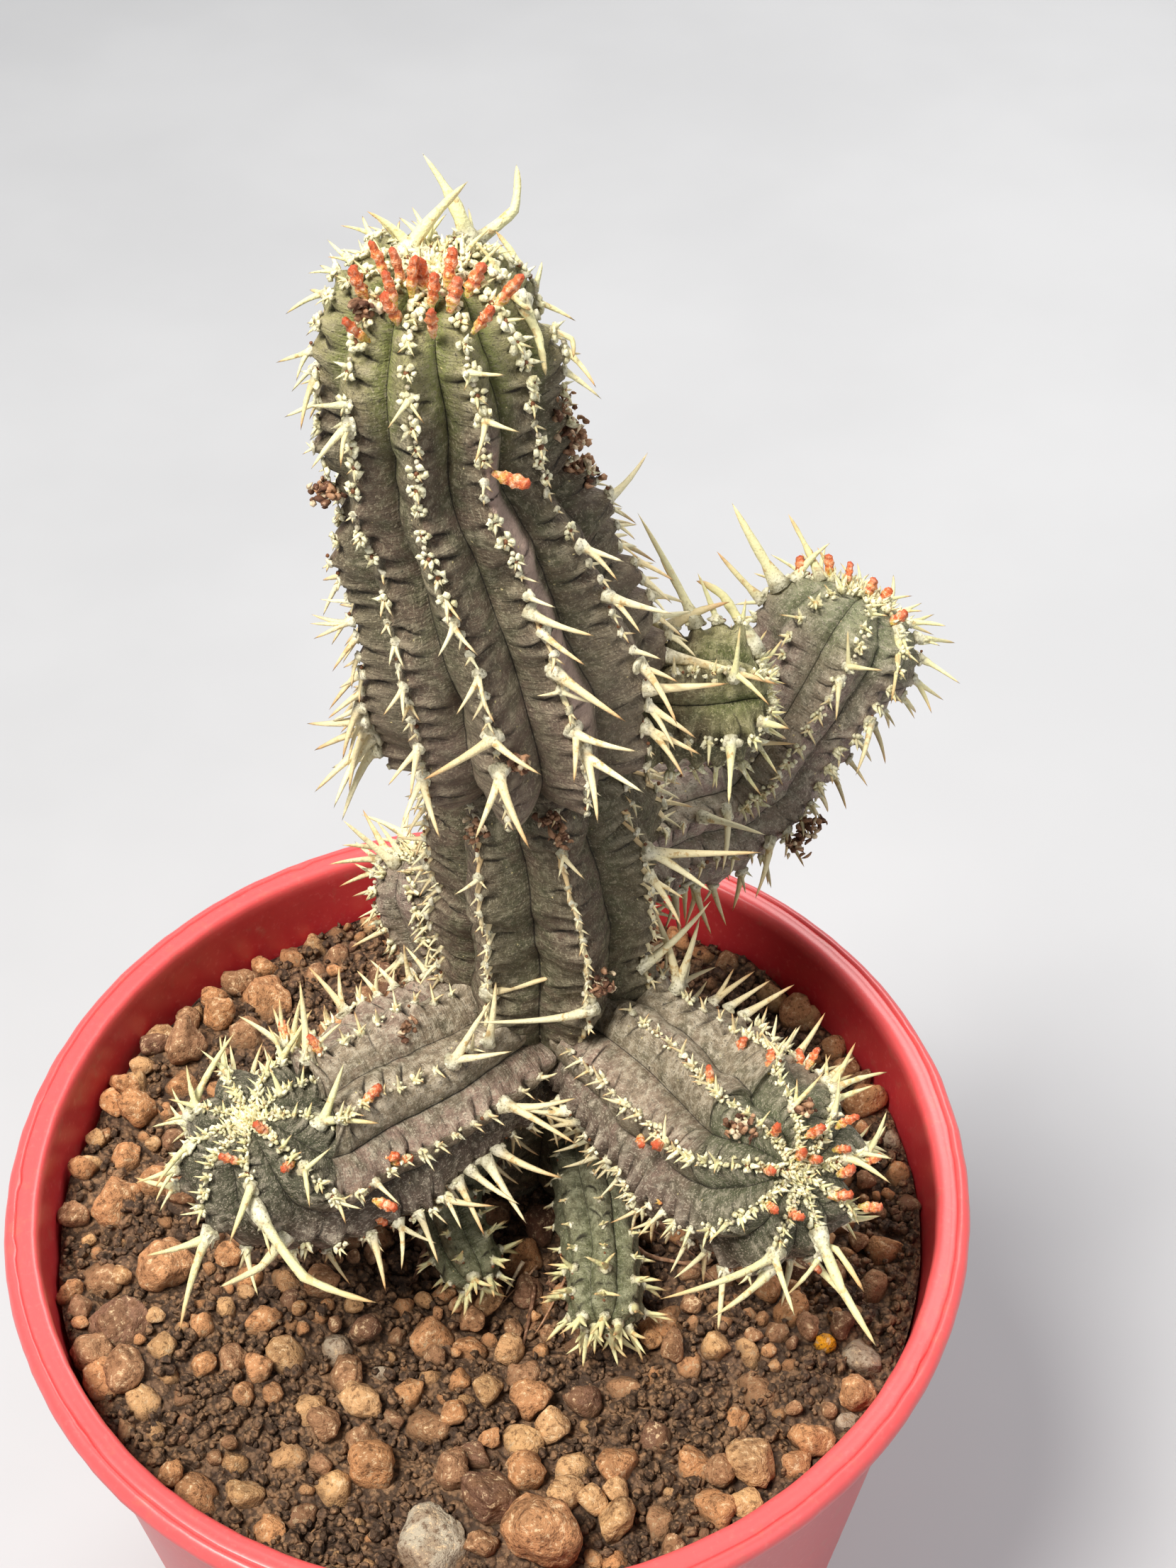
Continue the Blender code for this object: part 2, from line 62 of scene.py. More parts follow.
# Pot and soil
RIM_RADIUS = 55
WALL_TOP, WALL_TOP_RADIUS = 91, 52.4
WALL_SLOPE = math.tan(math.radians(7))
WALL_THICK = 1.4
FLOOR_TOP, CORNER_TOP, CORNER_WIDTH = 3.2, 5, 1.5
FOOT_RISE, CHANNEL_OUTER, CHANNEL_INNER = 1.2, 32, 11
DRAIN_COUNT, DRAIN_RADIUS, DRAIN_CIRCLE = 6, 2.5, 21.5
SIDE_GAP = 0.3
SOIL_TOP = 86.4
SOIL_COLUMNS, POT_COLUMNS = 260, 220

# The lip: width from its inner edge and height over the top, then radius and height down the outside
LIP_WIDTH = 3.8
LIP_TOP = ((-0.12, 93.9), (0, 94.5), (0.22, 94.85), (0.55, 95.0), (1.1, 94.99), (1.35, 94.93), (1.6, 94.96),
           (2.1, 94.96), (2.22, 94.88), (2.34, 94.68), (2.46, 94.88), (2.6, 94.97), (2.85, 94.96))
LIP_SIDE = ((54.3, 94.8), (54.65, 94.5), (54.9, 94.0), (55.0, 93.5), (54.95, 93.0), (54.8, 92.4),
            (54.5, 91.95), (54.0, 91.7), (53.2, 91.55), (52.7, 91.3))

# Stems: path, girth as (share of the length, crest radius) and dome in millimetres, depth of the valleys as
# a share of the radius, angle of the first crest, areole pitch, droop of the spines in degrees, and typical
# spine length as (share, length). Young skin and areole crusts begin at the shares green_from and
# crust_from. Margins are horny strips: a rib and the shares between which it has one. Bare is the rib with a
# pale stripe beside it, knobbly the rib with knobs, and worn how pale the skin is low on the stem. Blunt
# under 1 flattens the dome, and lumpy over 1 deepens the relief.
STEM_DEFAULTS = dict(blunt=1, bare=-1, knobbly=-1, worn=0, lumpy=1, twist=[(0, 0), (1, 0)], margins=())
BRANCH = dict(
    dome=8, ribs=9, depth=0.17, phase=10, pitch=2.0, droop=8, green_from=0.6, crust_from=0.35,
    spines=[(0, 4), (0.3, 4), (0.5, 3), (0.7, 3.5), (0.8, 5), (0.93, 5), (1, 2.5)])
OFFSET = dict(depth=0.18, phase=0, pitch=3, green_from=0.3, crust_from=1)
STEMS = {
    "lower_growth": dict(
        path=[(7.4, 10.5, 80), (7.5, 10.4, 100), (7.7, 9.6, 130), (6.4, 8.9, 147), (5.4, 8.5, 158)],
        girth=[(0, 10), (0.3, 10.8), (0.55, 11.9), (0.72, 12.2), (0.84, 11.2), (1, 9)],
        dome=4, ribs=8, depth=0.18, phase=13, pitch=2.2, droop=20, green_from=1, crust_from=1,
        margins=[(rib, 0.3, 0.9) for rib in range(8)],
        spines=[(0, 0), (0.2, 2), (0.35, 3), (1, 3)]),
    "upper_growth": dict(
        path=[(5.3, 8.6, 153.4), (4.2, 8.0, 166), (-0.3, 7.1, 188), (-1.4, 6.4, 202), (-1.0, 6.0, 210.6)],
        girth=[(0, 7.5), (0.012, 10.8), (0.035, 12.8), (0.07, 13.9), (0.12, 14.3), (0.2, 14), (0.32, 13.2),
               (0.42, 12.4), (0.5, 11.7), (0.56, 11), (0.64, 10.4), (0.77, 10), (1, 9.6)],
        dome=8.8, ribs=11, depth=0.15, phase=16.4, pitch=2.2, droop=38, green_from=0.63, crust_from=0.5,
        bare=0, knobbly=2, worn=0.14, twist=[(0, 8), (0.42, 10), (0.72, 4), (1, 3)],
        margins=[(0, 0.09, 0.48)],
        spines=[(0, 0), (0.04, 0), (0.07, 7), (0.18, 6), (0.25, 4.5), (0.42, 3.2), (0.5, 1.1), (0.72, 1),
                (0.8, 3.2), (0.9, 3.2), (1, 2.4)]),
    "left_branch": dict(
        BRANCH, blunt=0.8,
        path=[(5, 8, 110), (0, 3, 111.6), (-6.5, -1.2, 111.8), (-12.6, -4.8, 111.4), (-18.2, -8.2, 111),
              (-22.6, -9.9, 113.2), (-25, -10.3, 119.8)],
        girth=[(0, 7.5), (0.2, 9.4), (0.4, 10.8), (0.7, 10.8), (1, 10.4)]),
    "right_branch": dict(
        BRANCH, blunt=0.72,
        path=[(9, 7.5, 110), (14, 3.5, 111.6), (19.5, -3.5, 112.2), (25, -10.8, 112.4), (29, -16.4, 114),
              (31.9, -20.4, 118.3)],
        girth=[(0, 7.5), (0.25, 9.4), (0.5, 10.9), (0.75, 11), (1, 10.9)]),
    "back_right_branch": dict(
        path=[(9, 10.5, 132), (20.3, 17, 131.5), (26.3, 21, 129.4), (31.4, 24.8, 131.4), (37, 28.5, 138.4),
              (44.3, 33.5, 149.8)],
        girth=[(0, 6.4), (0.3, 6.8), (0.5, 7.5), (0.7, 7.6), (0.85, 9), (1, 8.8)],
        dome=7, ribs=8, depth=0.16, phase=0, pitch=2.2, droop=25, green_from=0.65, crust_from=0.4,
        spines=[(0, 4), (0.3, 5), (0.5, 4), (0.7, 3), (0.85, 4.5), (0.95, 5), (1, 2.5)]),
    "back_left_branch": dict(
        path=[(4, 14, 103), (-2.5, 22.5, 107), (-5.4, 25, 112), (-7, 26.8, 120)],
        girth=[(0, 4.5), (0.4, 5.8), (0.8, 6), (1, 5.6)],
        dome=4.5, ribs=7, depth=0.18, phase=0, pitch=2.2, droop=10, green_from=0.9, crust_from=0.6,
        spines=[(0, 2), (0.4, 4), (1, 6)]),
    "side_bud": dict(
        path=[(15.5, 8.8, 157.8), (20.5, 9.2, 157.6), (25, 9.4, 157.7), (30.2, 9.4, 158)],
        girth=[(0, 5), (0.35, 6.2), (0.7, 6.5), (1, 6.4)],
        dome=5, ribs=6, depth=0.24, phase=30, pitch=2.2, droop=0, green_from=0.3, crust_from=0.1, lumpy=1.8,
        spines=[(0, 1), (0.5, 3), (0.7, 4.5), (1, 3)]),
    "young_offset_left": dict(
        OFFSET, dome=3.4, ribs=6, droop=-5,
        path=[(0.5, 3.5, 97.5), (-4.5, -1.5, 95.8), (-4.2, -7.5, 93.4), (-1.6, -13.8, 91.2)],
        girth=[(0, 3), (0.4, 4), (1, 3.8)],
        spines=[(0, 0.6), (0.6, 1.4), (0.85, 2.8), (1, 3)]),
    "young_offset_right": dict(
        OFFSET, dome=3.8, ribs=7, droop=-10,
        path=[(10, 4, 96), (11.6, -5, 94.8), (12, -13, 93.2), (11.4, -21.4, 92.6)],
        girth=[(0, 3.4), (0.4, 4.3), (1, 4.4)],
        spines=[(0, 0.6), (0.6, 1.4), (0.85, 3.2), (1, 3.6)]),
}
TWIST_SHARES = np.linspace(0, 1, 101)

# The stems of each piece. The main stem is one piece grown in two stages.
PIECES = {
    "main_stem": ("lower_growth", "upper_growth"),
    "left_branch": ("left_branch",),
    "right_branch": ("right_branch",),
    "back_right_branch": ("back_right_branch",),
    "back_left_branch": ("back_left_branch",),
    "side_bud": ("side_bud",),
    "young_offset_left": ("young_offset_left",),
    "young_offset_right": ("young_offset_right",),
}

# How finely thick and thin stems are meshed: the step between rows in millimetres, and places across a rib
FINE = (0.33, (-1, -0.94, -0.8, -0.6, -0.43, -0.29, -0.18, -0.09, 0, 0.09, 0.18, 0.29, 0.43, 0.6, 0.8, 0.94))
COARSE = (0.38, (-1, -0.9, -0.7, -0.48, -0.28, -0.1, 0, 0.1, 0.28, 0.48, 0.7, 0.9))

# How far below its areole a rib's notch and folds lie, as a share of the pitch
NOTCH = 0.35

# What a spot of an areole is, as the number pad that colours it
EYE, BEAD, SPINE, STRIP, SHIELD, CRUST = -0.6, -0.22, 0.0, 0.3, 0.75, 1.0

# How many pixels a photographed spine, flower head or clump may be from its areole, the facing under which an
# areole is hidden from the camera, and the pixels that count against one that faces aside
SPINE_REACH, HEAD_REACH, REMAINS_REACH = 45, 70, 90
HIDDEN = -0.35
ASIDE_COST = 25

# A flower head's radii up its height, and the radii along a crust's tooth and along a dried flake
HEAD_PROFILE = np.array(((0, 0.24), (0.08, 0.3), (0.16, 0.34), (0.25, 0.42), (0.34, 0.54), (0.43, 0.5),
                         (0.5, 0.38), (0.58, 0.48), (0.68, 0.56), (0.76, 0.44), (0.84, 0.4), (0.92, 0.42),
                         (0.98, 0.3), (1.0, 0.16)))
HEAD_SIDES = 14
TOOTH_RADII = np.array((0.22, 0.3, 0.22, 0.04))
FLAKE_RADII = np.array((0.14, 0.26, 0.3, 0.2, 0.04))

# Gravel: how often a stone or a crumb is tried, and the share of grey stones. Roots: how many there are.
GRAVEL_TRIES, CRUMB_TRIES = 4000, 10500
GREY_SHARE = 0.006
GREY, AMBER = 4, 5
ROOT_COUNT = 46

# Photographed stones in pixels: x, y, radius and kind (0 sandy, 1 orange, 2 brown, 3 dark, 4 grey, 5 amber)
STONES = (
    (608, 2190, 48, 4), (400, 1912, 31, 0), (205, 1985, 27, 0), (125, 1960, 26, 1), (170, 1870, 42, 3),
    (232, 1912, 21, 0), (125, 1915, 24, 2), (180, 1945, 30, 2), (222, 1863, 14, 0), (285, 1868, 20, 1),
    (318, 1845, 16, 0), (325, 1925, 23, 2), (365, 1935, 19, 1), (470, 1895, 27, 4), (515, 1870, 24, 3),
    (492, 1935, 26, 2), (538, 1932, 14, 4), (548, 1908, 11, 0), (437, 1990, 25, 0), (512, 1975, 26, 0),
    (385, 1975, 19, 1), (345, 1975, 18, 1), (510, 2028, 28, 2), (532, 2068, 32, 1), (468, 2100, 25, 0),
    (345, 2108, 25, 0), (280, 2110, 32, 1), (240, 2090, 19, 1), (170, 2030, 16, 2), (220, 2030, 17, 0),
    (258, 2035, 10, 3), (380, 2160, 22, 1), (505, 2145, 12, 0), (660, 1890, 22, 1), (600, 2005, 30, 2),
    (625, 1965, 14, 1), (655, 1970, 14, 0), (688, 1965, 20, 0), (640, 2050, 13, 0), (680, 2190, 21, 2),
    (480, 2205, 14, 0), (520, 2212, 15, 0), (735, 1940, 26, 2), (750, 1972, 27, 1), (733, 2035, 30, 0),
    (780, 2015, 24, 0), (830, 2010, 14, 0), (825, 1975, 24, 3), (745, 2085, 30, 1), (810, 2075, 26, 0),
    (868, 2068, 28, 1), (690, 2130, 38, 3), (670, 2060, 22, 3), (692, 2035, 15, 1), (795, 2115, 24, 0),
    (837, 2125, 20, 0), (870, 2108, 19, 0), (868, 2155, 26, 0), (870, 2205, 18, 1), (760, 2185, 48, 1),
    (920, 2025, 30, 3), (945, 2100, 17, 0), (978, 2065, 28, 1), (1015, 2080, 20, 2), (1010, 2130, 28, 1),
    (1050, 2125, 20, 0), (930, 2150, 22, 2), (950, 2185, 18, 2), (1060, 2065, 33, 0), (1125, 2065, 22, 1),
    (1145, 2030, 25, 1), (1040, 2000, 20, 1), (1195, 2000, 15, 4), (1215, 1970, 28, 1), (1215, 1910, 27, 4),
    (1165, 1897, 14, 5), (1055, 1910, 18, 0), (1067, 1955, 26, 2), (925, 1935, 15, 1), (880, 1950, 22, 2),
    (940, 1860, 34, 1), (1115, 1845, 28, 1), (1115, 1925, 14, 1), (165, 1435, 24, 0), (230, 1390, 17, 0),
    (280, 1385, 18, 1), (260, 1430, 20, 2), (310, 1425, 24, 1), (375, 1405, 36, 1), (320, 1360, 22, 2),
    (345, 1325, 18, 1), (383, 1300, 20, 1), (420, 1280, 16, 0), (460, 1275, 15, 2), (500, 1252, 18, 0),
    (265, 1480, 31, 2), (215, 1475, 18, 3), (345, 1455, 27, 2), (130, 1505, 26, 0), (170, 1530, 21, 1),
    (200, 1505, 16, 0), (140, 1548, 19, 1), (190, 1565, 24, 1), (90, 1585, 16, 1), (130, 1600, 13, 0),
    (125, 1640, 18, 0), (175, 1630, 22, 1), (85, 1650, 16, 1), (155, 1692, 44, 1), (255, 1530, 25, 1),
    (230, 1645, 16, 3), (80, 1715, 18, 2), (235, 1785, 40, 1), (136, 1797, 28, 2), (65, 1830, 17, 1),
    (1140, 1355, 24, 0), (1130, 1420, 25, 1), (1180, 1405, 18, 0), (1185, 1460, 18, 1), (1210, 1490, 23, 1),
    (1250, 1505, 15, 2), (1225, 1550, 28, 1), (1265, 1600, 16, 4), (1285, 1645, 20, 1), (1290, 1690, 14, 3),
    (1250, 1755, 28, 1), (1240, 1700, 19, 2), (1010, 1300, 20, 1), (1055, 1320, 20, 2), (960, 1310, 18, 1),
)
YOUNG = ("side_bud", "young_offset_left", "young_offset_right")

# The skin of each piece that hasn't the main stem's
SKINS = dict(side_bud="bud_skin", young_offset_left="young_skin", young_offset_right="young_skin",
             left_branch="branch_skin", right_branch="branch_skin", back_right_branch="back_skin",
             back_left_branch="back_skin")

# Skin colours from 0 to 255: flesh, flush, green valleys, young valleys, young ribs and pale marks, which
# also paint light on up-facing skin and on the bulges between folds, and how dark the painted underside shade
# is
SKIN_COLOURS = {
    "stem_skin": ((108, 99, 76), (110, 92, 76), (80, 84, 56), (124, 136, 60), (176, 171, 118),
                  (184, 172, 144), 0.1),
    "branch_skin": ((150, 135, 111), (158, 132, 116), (92, 90, 68), (90, 98, 66), (122, 126, 96),
                    (222, 208, 184), 0.7),
    "back_skin": ((184, 166, 142), (186, 158, 146), (130, 128, 104), (124, 132, 92), (162, 168, 126),
                  (228, 214, 190), 0.4),
    "bud_skin": ((146, 138, 98), (138, 124, 92), (78, 86, 52), (98, 108, 58), (156, 152, 104),
                 (214, 204, 160), 0.6),
    "young_skin": ((122, 120, 92), (116, 112, 86), (84, 87, 64), (98, 102, 68), (134, 134, 100),
                   (186, 184, 152), 0.2),
}

# Lights: place and size in metres, power in watts and colour. They face the plant.
LIGHTS = {
    "key": ((-0.3, -0.2, 0.85), 0.3, 11, (1, 0.97, 0.91)),
    "fill": ((0.55, -0.6, 0.4), 0.6, 1.5, (0.94, 0.96, 1)),
    "back": ((0.3, 0.55, 0.6), 0.5, 4, (1, 0.98, 0.95)),
}
LIGHT_TARGET = (0, 0, 0.12)
WORLD_COLOUR, WORLD_STRENGTH = (0.92, 0.95, 1, 1), 0.28

# Spines in the photograph's pixels: the foot's x and y, then each tip's x and y
SPINES = {
    "upper_growth": [
        (643, 845, 637, 883, 657, 877), (648, 878, 620, 928, 678, 925), (658, 918, 653, 938, 677, 947),
        (668, 950, 641, 1008, 684, 1005), (682, 995, 665, 1022, 698, 1025), (690, 1037, 595, 1100, 763, 1093),
        (707, 1093, 670, 1187, 748, 1200), (750, 807, 768, 820, 743, 820), (753, 830, 787, 853),
        (773, 860, 853, 895), (788, 900, 840, 943), (798, 940, 888, 1015), (807, 985, 763, 986, 840, 996),
        (817, 1020, 812, 1102, 903, 1057), (833, 1067, 847, 1164, 913, 1121), (837, 773, 887, 793, 877, 820),
        (873, 845, 912, 897, 957, 868), (883, 920, 930, 931), (907, 953, 960, 967, 957, 1027),
        (930, 1007, 960, 1063, 990, 1046), (547, 860, 538, 880, 557, 877), (568, 922, 553, 947, 575, 950),
        (578, 963, 543, 1008, 573, 1015), (587, 1003, 570, 1025, 597, 1023),
        (593, 1048, 548, 1105, 580, 1122), (613, 1105, 575, 1167, 627, 1187),
        (490, 863, 437, 862, 435, 875, 440, 897), (487, 833, 450, 840), (522, 1037, 440, 1117, 467, 1140),
        (518, 980, 465, 1015), (503, 907, 468, 950), (944, 915, 1103, 962), (913, 958, 1028, 960),
        (928, 1008, 1005, 1046, 982, 1079), (640, 530, 695, 533, 635, 557), (677, 590, 733, 610, 668, 655),
        (575, 583, 545, 615, 598, 608), (500, 553, 440, 563, 488, 580), (497, 603, 440, 663, 482, 662),
        (455, 487, 458, 433, 437, 505), (443, 527, 422, 540, 423, 605), (453, 637, 435, 625, 430, 643),
        (510, 507, 492, 505), (690, 470, 723, 465), (616, 345, 616, 307), (607, 357, 618, 335),
        (652, 347, 690, 318), (687, 387, 713, 347), (743, 380, 710, 335), (697, 387, 720, 380),
        (878, 704, 923, 642),
    ],
    "lower_growth": [
        (680, 1233, 643, 1260, 692, 1255), (800, 1207, 790, 1240, 828, 1242),
        (925, 1181, 1084, 1188, 1013, 1244), (944, 1231, 994, 1260, 990, 1300),
        (898, 1347, 857, 1233, 1000, 1266), (820, 1426, 832, 1237, 664, 1442),
        (708, 1416, 690, 1235, 824, 1378),
    ],
    "left_branch": [
        (232, 1558, 293, 1446), (232, 1600, 184, 1658), (432, 1508, 422, 1388, 482, 1446),
        (456, 1572, 486, 1496, 538, 1581), (432, 1638, 469, 1614, 438, 1700), (516, 1638, 550, 1670),
        (398, 1700, 408, 1744), (328, 1706, 298, 1782), (296, 1724, 252, 1876, 204, 1766),
        (260, 1656, 194, 1671, 222, 1700), (278, 1548, 262, 1496, 236, 1544), (312, 1508, 280, 1478),
        (318, 1500, 309, 1454), (342, 1484, 342, 1430), (376, 1480, 317, 1432), (386, 1532, 376, 1500),
        (472, 1404, 420, 1340, 464, 1340), (620, 1476, 672, 1392, 702, 1465),
        (700, 1556, 808, 1548, 808, 1614), (712, 1636, 800, 1672), (660, 1656, 732, 1702),
        (620, 1672, 696, 1694, 648, 1728), (564, 1696, 618, 1726, 568, 1764),
        (512, 1716, 532, 1742, 534, 1798), (460, 1720, 476, 1756, 500, 1734), (688, 1644, 744, 1730),
        (668, 1688, 706, 1764), (588, 1720, 618, 1786), (674, 1440, 686, 1356),
    ],
    "right_branch": [
        (1016, 1380, 1075, 1335, 1046, 1330), (1036, 1400, 1094, 1364), (1048, 1408, 1120, 1365),
        (1060, 1436, 1078, 1414), (1088, 1464, 1096, 1430), (1132, 1476, 1170, 1420),
        (1124, 1548, 1126, 1516, 1164, 1508), (1182, 1568, 1186, 1520), (1196, 1564, 1244, 1538),
        (1224, 1604, 1252, 1554), (1200, 1656, 1262, 1683), (1220, 1648, 1264, 1646),
        (1196, 1756, 1238, 1754), (1140, 1780, 1203, 1847), (1128, 1772, 1082, 1831),
        (1072, 1756, 916, 1825, 1108, 1849), (1022, 1788, 1013, 1878), (1100, 1800, 1016, 1864),
        (980, 1756, 948, 1800), (1016, 1716, 996, 1748), (948, 1684, 912, 1720),
        (876, 1568, 846, 1552, 868, 1548), (812, 1548, 770, 1536, 740, 1548),
        (820, 1572, 770, 1568, 764, 1588), (944, 1600, 916, 1594, 942, 1566),
        (946, 1384, 905, 1250, 985, 1290),
    ],
    "back_right_branch": [
        (1155, 804, 1112, 721), (1048, 823, 984, 756), (1271, 900, 1286, 935, 1257, 996),
        (1225, 1027, 1207, 1096), (1202, 988, 1198, 1042), (1163, 923, 1161, 873, 1211, 929),
        (986, 1127, 1073, 1152), (1015, 1177, 1010, 1260), (1071, 1169, 1055, 1250), (1059, 1069, 1152, 1067),
    ],
    "back_left_branch": [(553, 1220, 483, 1158), (557, 1193, 528, 1153)],
    "side_bud": [
        (975, 869, 898, 719, 930, 785), (986, 865, 965, 800), (1048, 892, 1053, 850),
        (1048, 969, 1096, 1008, 1053, 896), (1028, 1065, 1027, 1146), (1040, 1062, 1073, 1117),
    ],
}

# Spines that are stout for their length
STOUT = {
    "upper_growth": [(653, 333, 596, 215), (587, 343, 662, 252), (570, 347, 517, 298), (750, 440, 722, 482),
                     (752, 405, 764, 370)],
    "back_right_branch": [(1086, 808, 1023, 698), (1105, 785, 1148, 738)],
    "side_bud": [(952, 904, 1032, 858), (1071, 1015, 1113, 1027)],
}

# Spines with a kink: foot, kink and tip
KINKED = {
    "upper_growth": [
        (667, 347, 725, 297, 728, 233), (750, 400, 728, 366, 706, 338), (766, 450, 795, 463, 797, 490),
        (768, 455, 788, 500, 800, 560), (756, 408, 772, 430, 788, 440), (735, 400, 715, 378, 690, 395),
    ],
    "left_branch": [(334, 1700, 404, 1800, 508, 1836), (376, 1768, 348, 1808, 290, 1836)],
    "right_branch": [(1176, 1732, 1204, 1808, 1254, 1891), (1200, 1762, 1220, 1764, 1260, 1825)],
    "side_bud": [(1086, 900, 1040, 831, 1002, 810)],
}

# Flower heads in the photograph's pixels: the foot's x and y, then the top's
HEADS = {
    "upper_growth": [
        (515, 427, 497, 387), (542, 397, 530, 335), (552, 433, 550, 382), (568, 407, 562, 373),
        (578, 417, 578, 363), (597, 413, 597, 367), (602, 440, 604, 393), (630, 407, 637, 355),
        (633, 437, 640, 390), (657, 423, 662, 380), (700, 437, 720, 397), (670, 467, 688, 427),
        (617, 473, 622, 437), (575, 463, 568, 432), (523, 483, 505, 453), (700, 667, 737, 665),
    ],
    "left_branch": [
        (404, 1472, 398, 1440), (452, 1490, 446, 1470), (512, 1556, 546, 1524), (380, 1596, 364, 1596),
        (340, 1640, 310, 1634), (416, 1640, 398, 1650), (532, 1636, 586, 1616), (544, 1642, 584, 1630),
        (532, 1696, 552, 1696), (520, 1706, 546, 1718),
    ],
    "right_branch": [
        (1004, 1532, 1002, 1504), (1084, 1512, 1087, 1480), (1130, 1516, 1118, 1490),
        (1136, 1508, 1142, 1478), (1038, 1496, 1037, 1486), (1092, 1602, 1092, 1596),
        (1140, 1604, 1150, 1590), (1184, 1592, 1194, 1574), (1124, 1634, 1122, 1628),
        (1142, 1638, 1144, 1632), (1176, 1620, 1180, 1614), (1080, 1654, 1078, 1652),
        (1186, 1660, 1190, 1654), (1086, 1698, 1084, 1698), (1114, 1708, 1114, 1714),
        (1170, 1690, 1188, 1680), (1216, 1702, 1244, 1706), (1216, 1644, 1238, 1634),
        (1136, 1772, 1136, 1760), (900, 1604, 914, 1616), (928, 1616, 942, 1616), (916, 1696, 956, 1682),
    ],
    "back_right_branch": [
        (1130, 812, 1132, 798), (1168, 812, 1172, 794), (1194, 824, 1204, 810), (1220, 842, 1232, 826),
        (1238, 852, 1250, 836), (1254, 882, 1268, 870),
    ],
}

# Dried flower remains in the photograph's pixels: x, y, the clump's radius and its number of flakes
REMAINS = {
    "upper_growth": [
        (784, 570, 1.8, 44), (798, 612, 2.3, 70), (812, 662, 2.0, 50), (452, 694, 1.7, 40),
        (746, 1068, 1.3, 26), (503, 425, 1.3, 20),
    ],
    "lower_growth": [(672, 1168, 1.5, 26), (770, 1160, 1.2, 18), (790, 1180, 1.2, 18), (860, 1385, 1.6, 30)],
    "left_branch": [(578, 1462, 1.5, 26)],
    "right_branch": [(1036, 1600, 1.9, 44), (1136, 1566, 1.3, 26)],
    "back_right_branch": [(1130, 1190, 2.2, 40), (1150, 1160, 1.6, 24)],
}


def srgb(red, green, blue):
    """A colour from 0 to 255 on screen, as the linear colour that a shader takes."""
    shares = np.array((red, green, blue)) / 255
    linear = np.where(shares <= 0.04045, shares / 12.92, ((shares + 0.055) / 1.055) ** 2.4)
    return (*(float(value) for value in linear), 1.0)


def unit(vectors):
    """Vectors brought to length one."""
    return vectors / np.maximum(np.linalg.norm(vectors, axis=-1, keepdims=True), 1e-9)


def crosswise(ways, main):
    """Two directions at right angles to others that mainly follow one."""
    first = unit(np.cross(ways, np.eye(3)[np.argmin(abs(main))]))
    return first, np.cross(ways, first)


def even_turns(count):
    """Angles in even steps round a full turn."""
    return TURN * np.arange(count) / count


def curve(t, start, pull, end):
    """A curve from a start to an end that leans towards a third place."""
    return (1 - t) ** 2 * start + 2 * t * (1 - t) * pull + t ** 2 * end


def smooth_step(low, high, values):
    """0 below low, 1 above high and smooth between."""
    share = np.clip((values - low) / (high - low), 0, 1)
    return share * share * (3 - 2 * share)


def bell(values, width):
    """A smooth bump of height one round zero."""
    return np.exp(-(values / width) ** 2)


def ripple(places, size, seed):
    """Smooth noise, mostly between -1 and 1, whose bumps are about a size across."""
    rng = np.random.default_rng(seed)
    total = 0
    for _ in range(12):
        way = unit(rng.normal(size=3)) * TURN / (2 * size * rng.uniform(0.6, 1.6))
        total = total + np.sin(places @ way + rng.uniform(0, TURN))
    return total / 3.4


# The camera

def camera_ways():
    """The camera's right, up and forward directions."""
    pitch, yaw = math.radians(CAMERA_PITCH), math.radians(CAMERA_YAW)
    forward = np.array((math.sin(yaw) * math.cos(pitch), math.cos(yaw) * math.cos(pitch), -math.sin(pitch)))
    right = np.array((math.cos(yaw), -math.sin(yaw), 0))
    return right, np.cross(right, forward), forward


def pixels_of(places):
    """Where places appear in the photograph."""
    right, up, forward = camera_ways()
    ways = places - CAMERA_PLACE
    depth = ways @ forward
    return np.stack((PHOTO_WIDTH / 2 + FOCAL * (ways @ right) / depth,
                     PHOTO_HEIGHT / 2 - FOCAL * (ways @ up) / depth), -1)


def pixel_size(place):
    """How many millimetres a pixel spans at a place."""
    return np.linalg.norm(place - CAMERA_PLACE) / FOCAL


def place_near(pixel, target):
    """The place seen at a pixel that is nearest to a target."""
    right, up, forward = camera_ways()
    across, down = pixel[0] - PHOTO_WIDTH / 2, pixel[1] - PHOTO_HEIGHT / 2
    way = unit(forward + right * across / FOCAL - up * down / FOCAL)
    return CAMERA_PLACE + way * ((target - CAMERA_PLACE) @ way)


# Meshes

NO_QUADS = np.zeros((0, 4), int)


def add_object(name, data):
    """A new object in the scene."""
    thing = bpy.data.objects.new(name, data)
    bpy.context.scene.collection.objects.link(thing)
    return thing


def mesh_of(name, bm):
    """A mesh with what was made in an editing mesh."""
    mesh = bpy.data.meshes.new(name)
    bm.to_mesh(mesh)
    bm.free()
    return mesh


@functools.lru_cache(maxsize=None)
def ring_faces(rows, columns):
    """Quads and triangles of a closed skin: rows of rings, then a start point and an end point."""
    ring = np.arange(columns)
    after = (ring + 1) % columns
    row = np.arange(rows - 1)[:, None] * columns
    corners = (row + ring, row + after, row + columns + after, row + columns + ring)
    quads = np.stack(corners, -1).reshape(-1, 4)
    last, start, end = (rows - 1) * columns, rows * columns, rows * columns + 1
    triangles = np.concatenate((
        np.stack((np.full(columns, start), after, ring), -1),
        np.stack((np.full(columns, end), last + ring, last + after), -1)))
    return quads, triangles


@functools.lru_cache(maxsize=None)
def unit_ball(level):
    """Places and triangles of a round ball of radius one, finer at a higher level."""
    bm = bmesh.new()
    bmesh.ops.create_icosphere(bm, subdivisions=level, radius=1)
    places = np.array([tuple(vert.co) for vert in bm.verts])
    faces = np.array([[vert.index for vert in face.verts] for face in bm.faces])
    bm.free()
    return places, faces


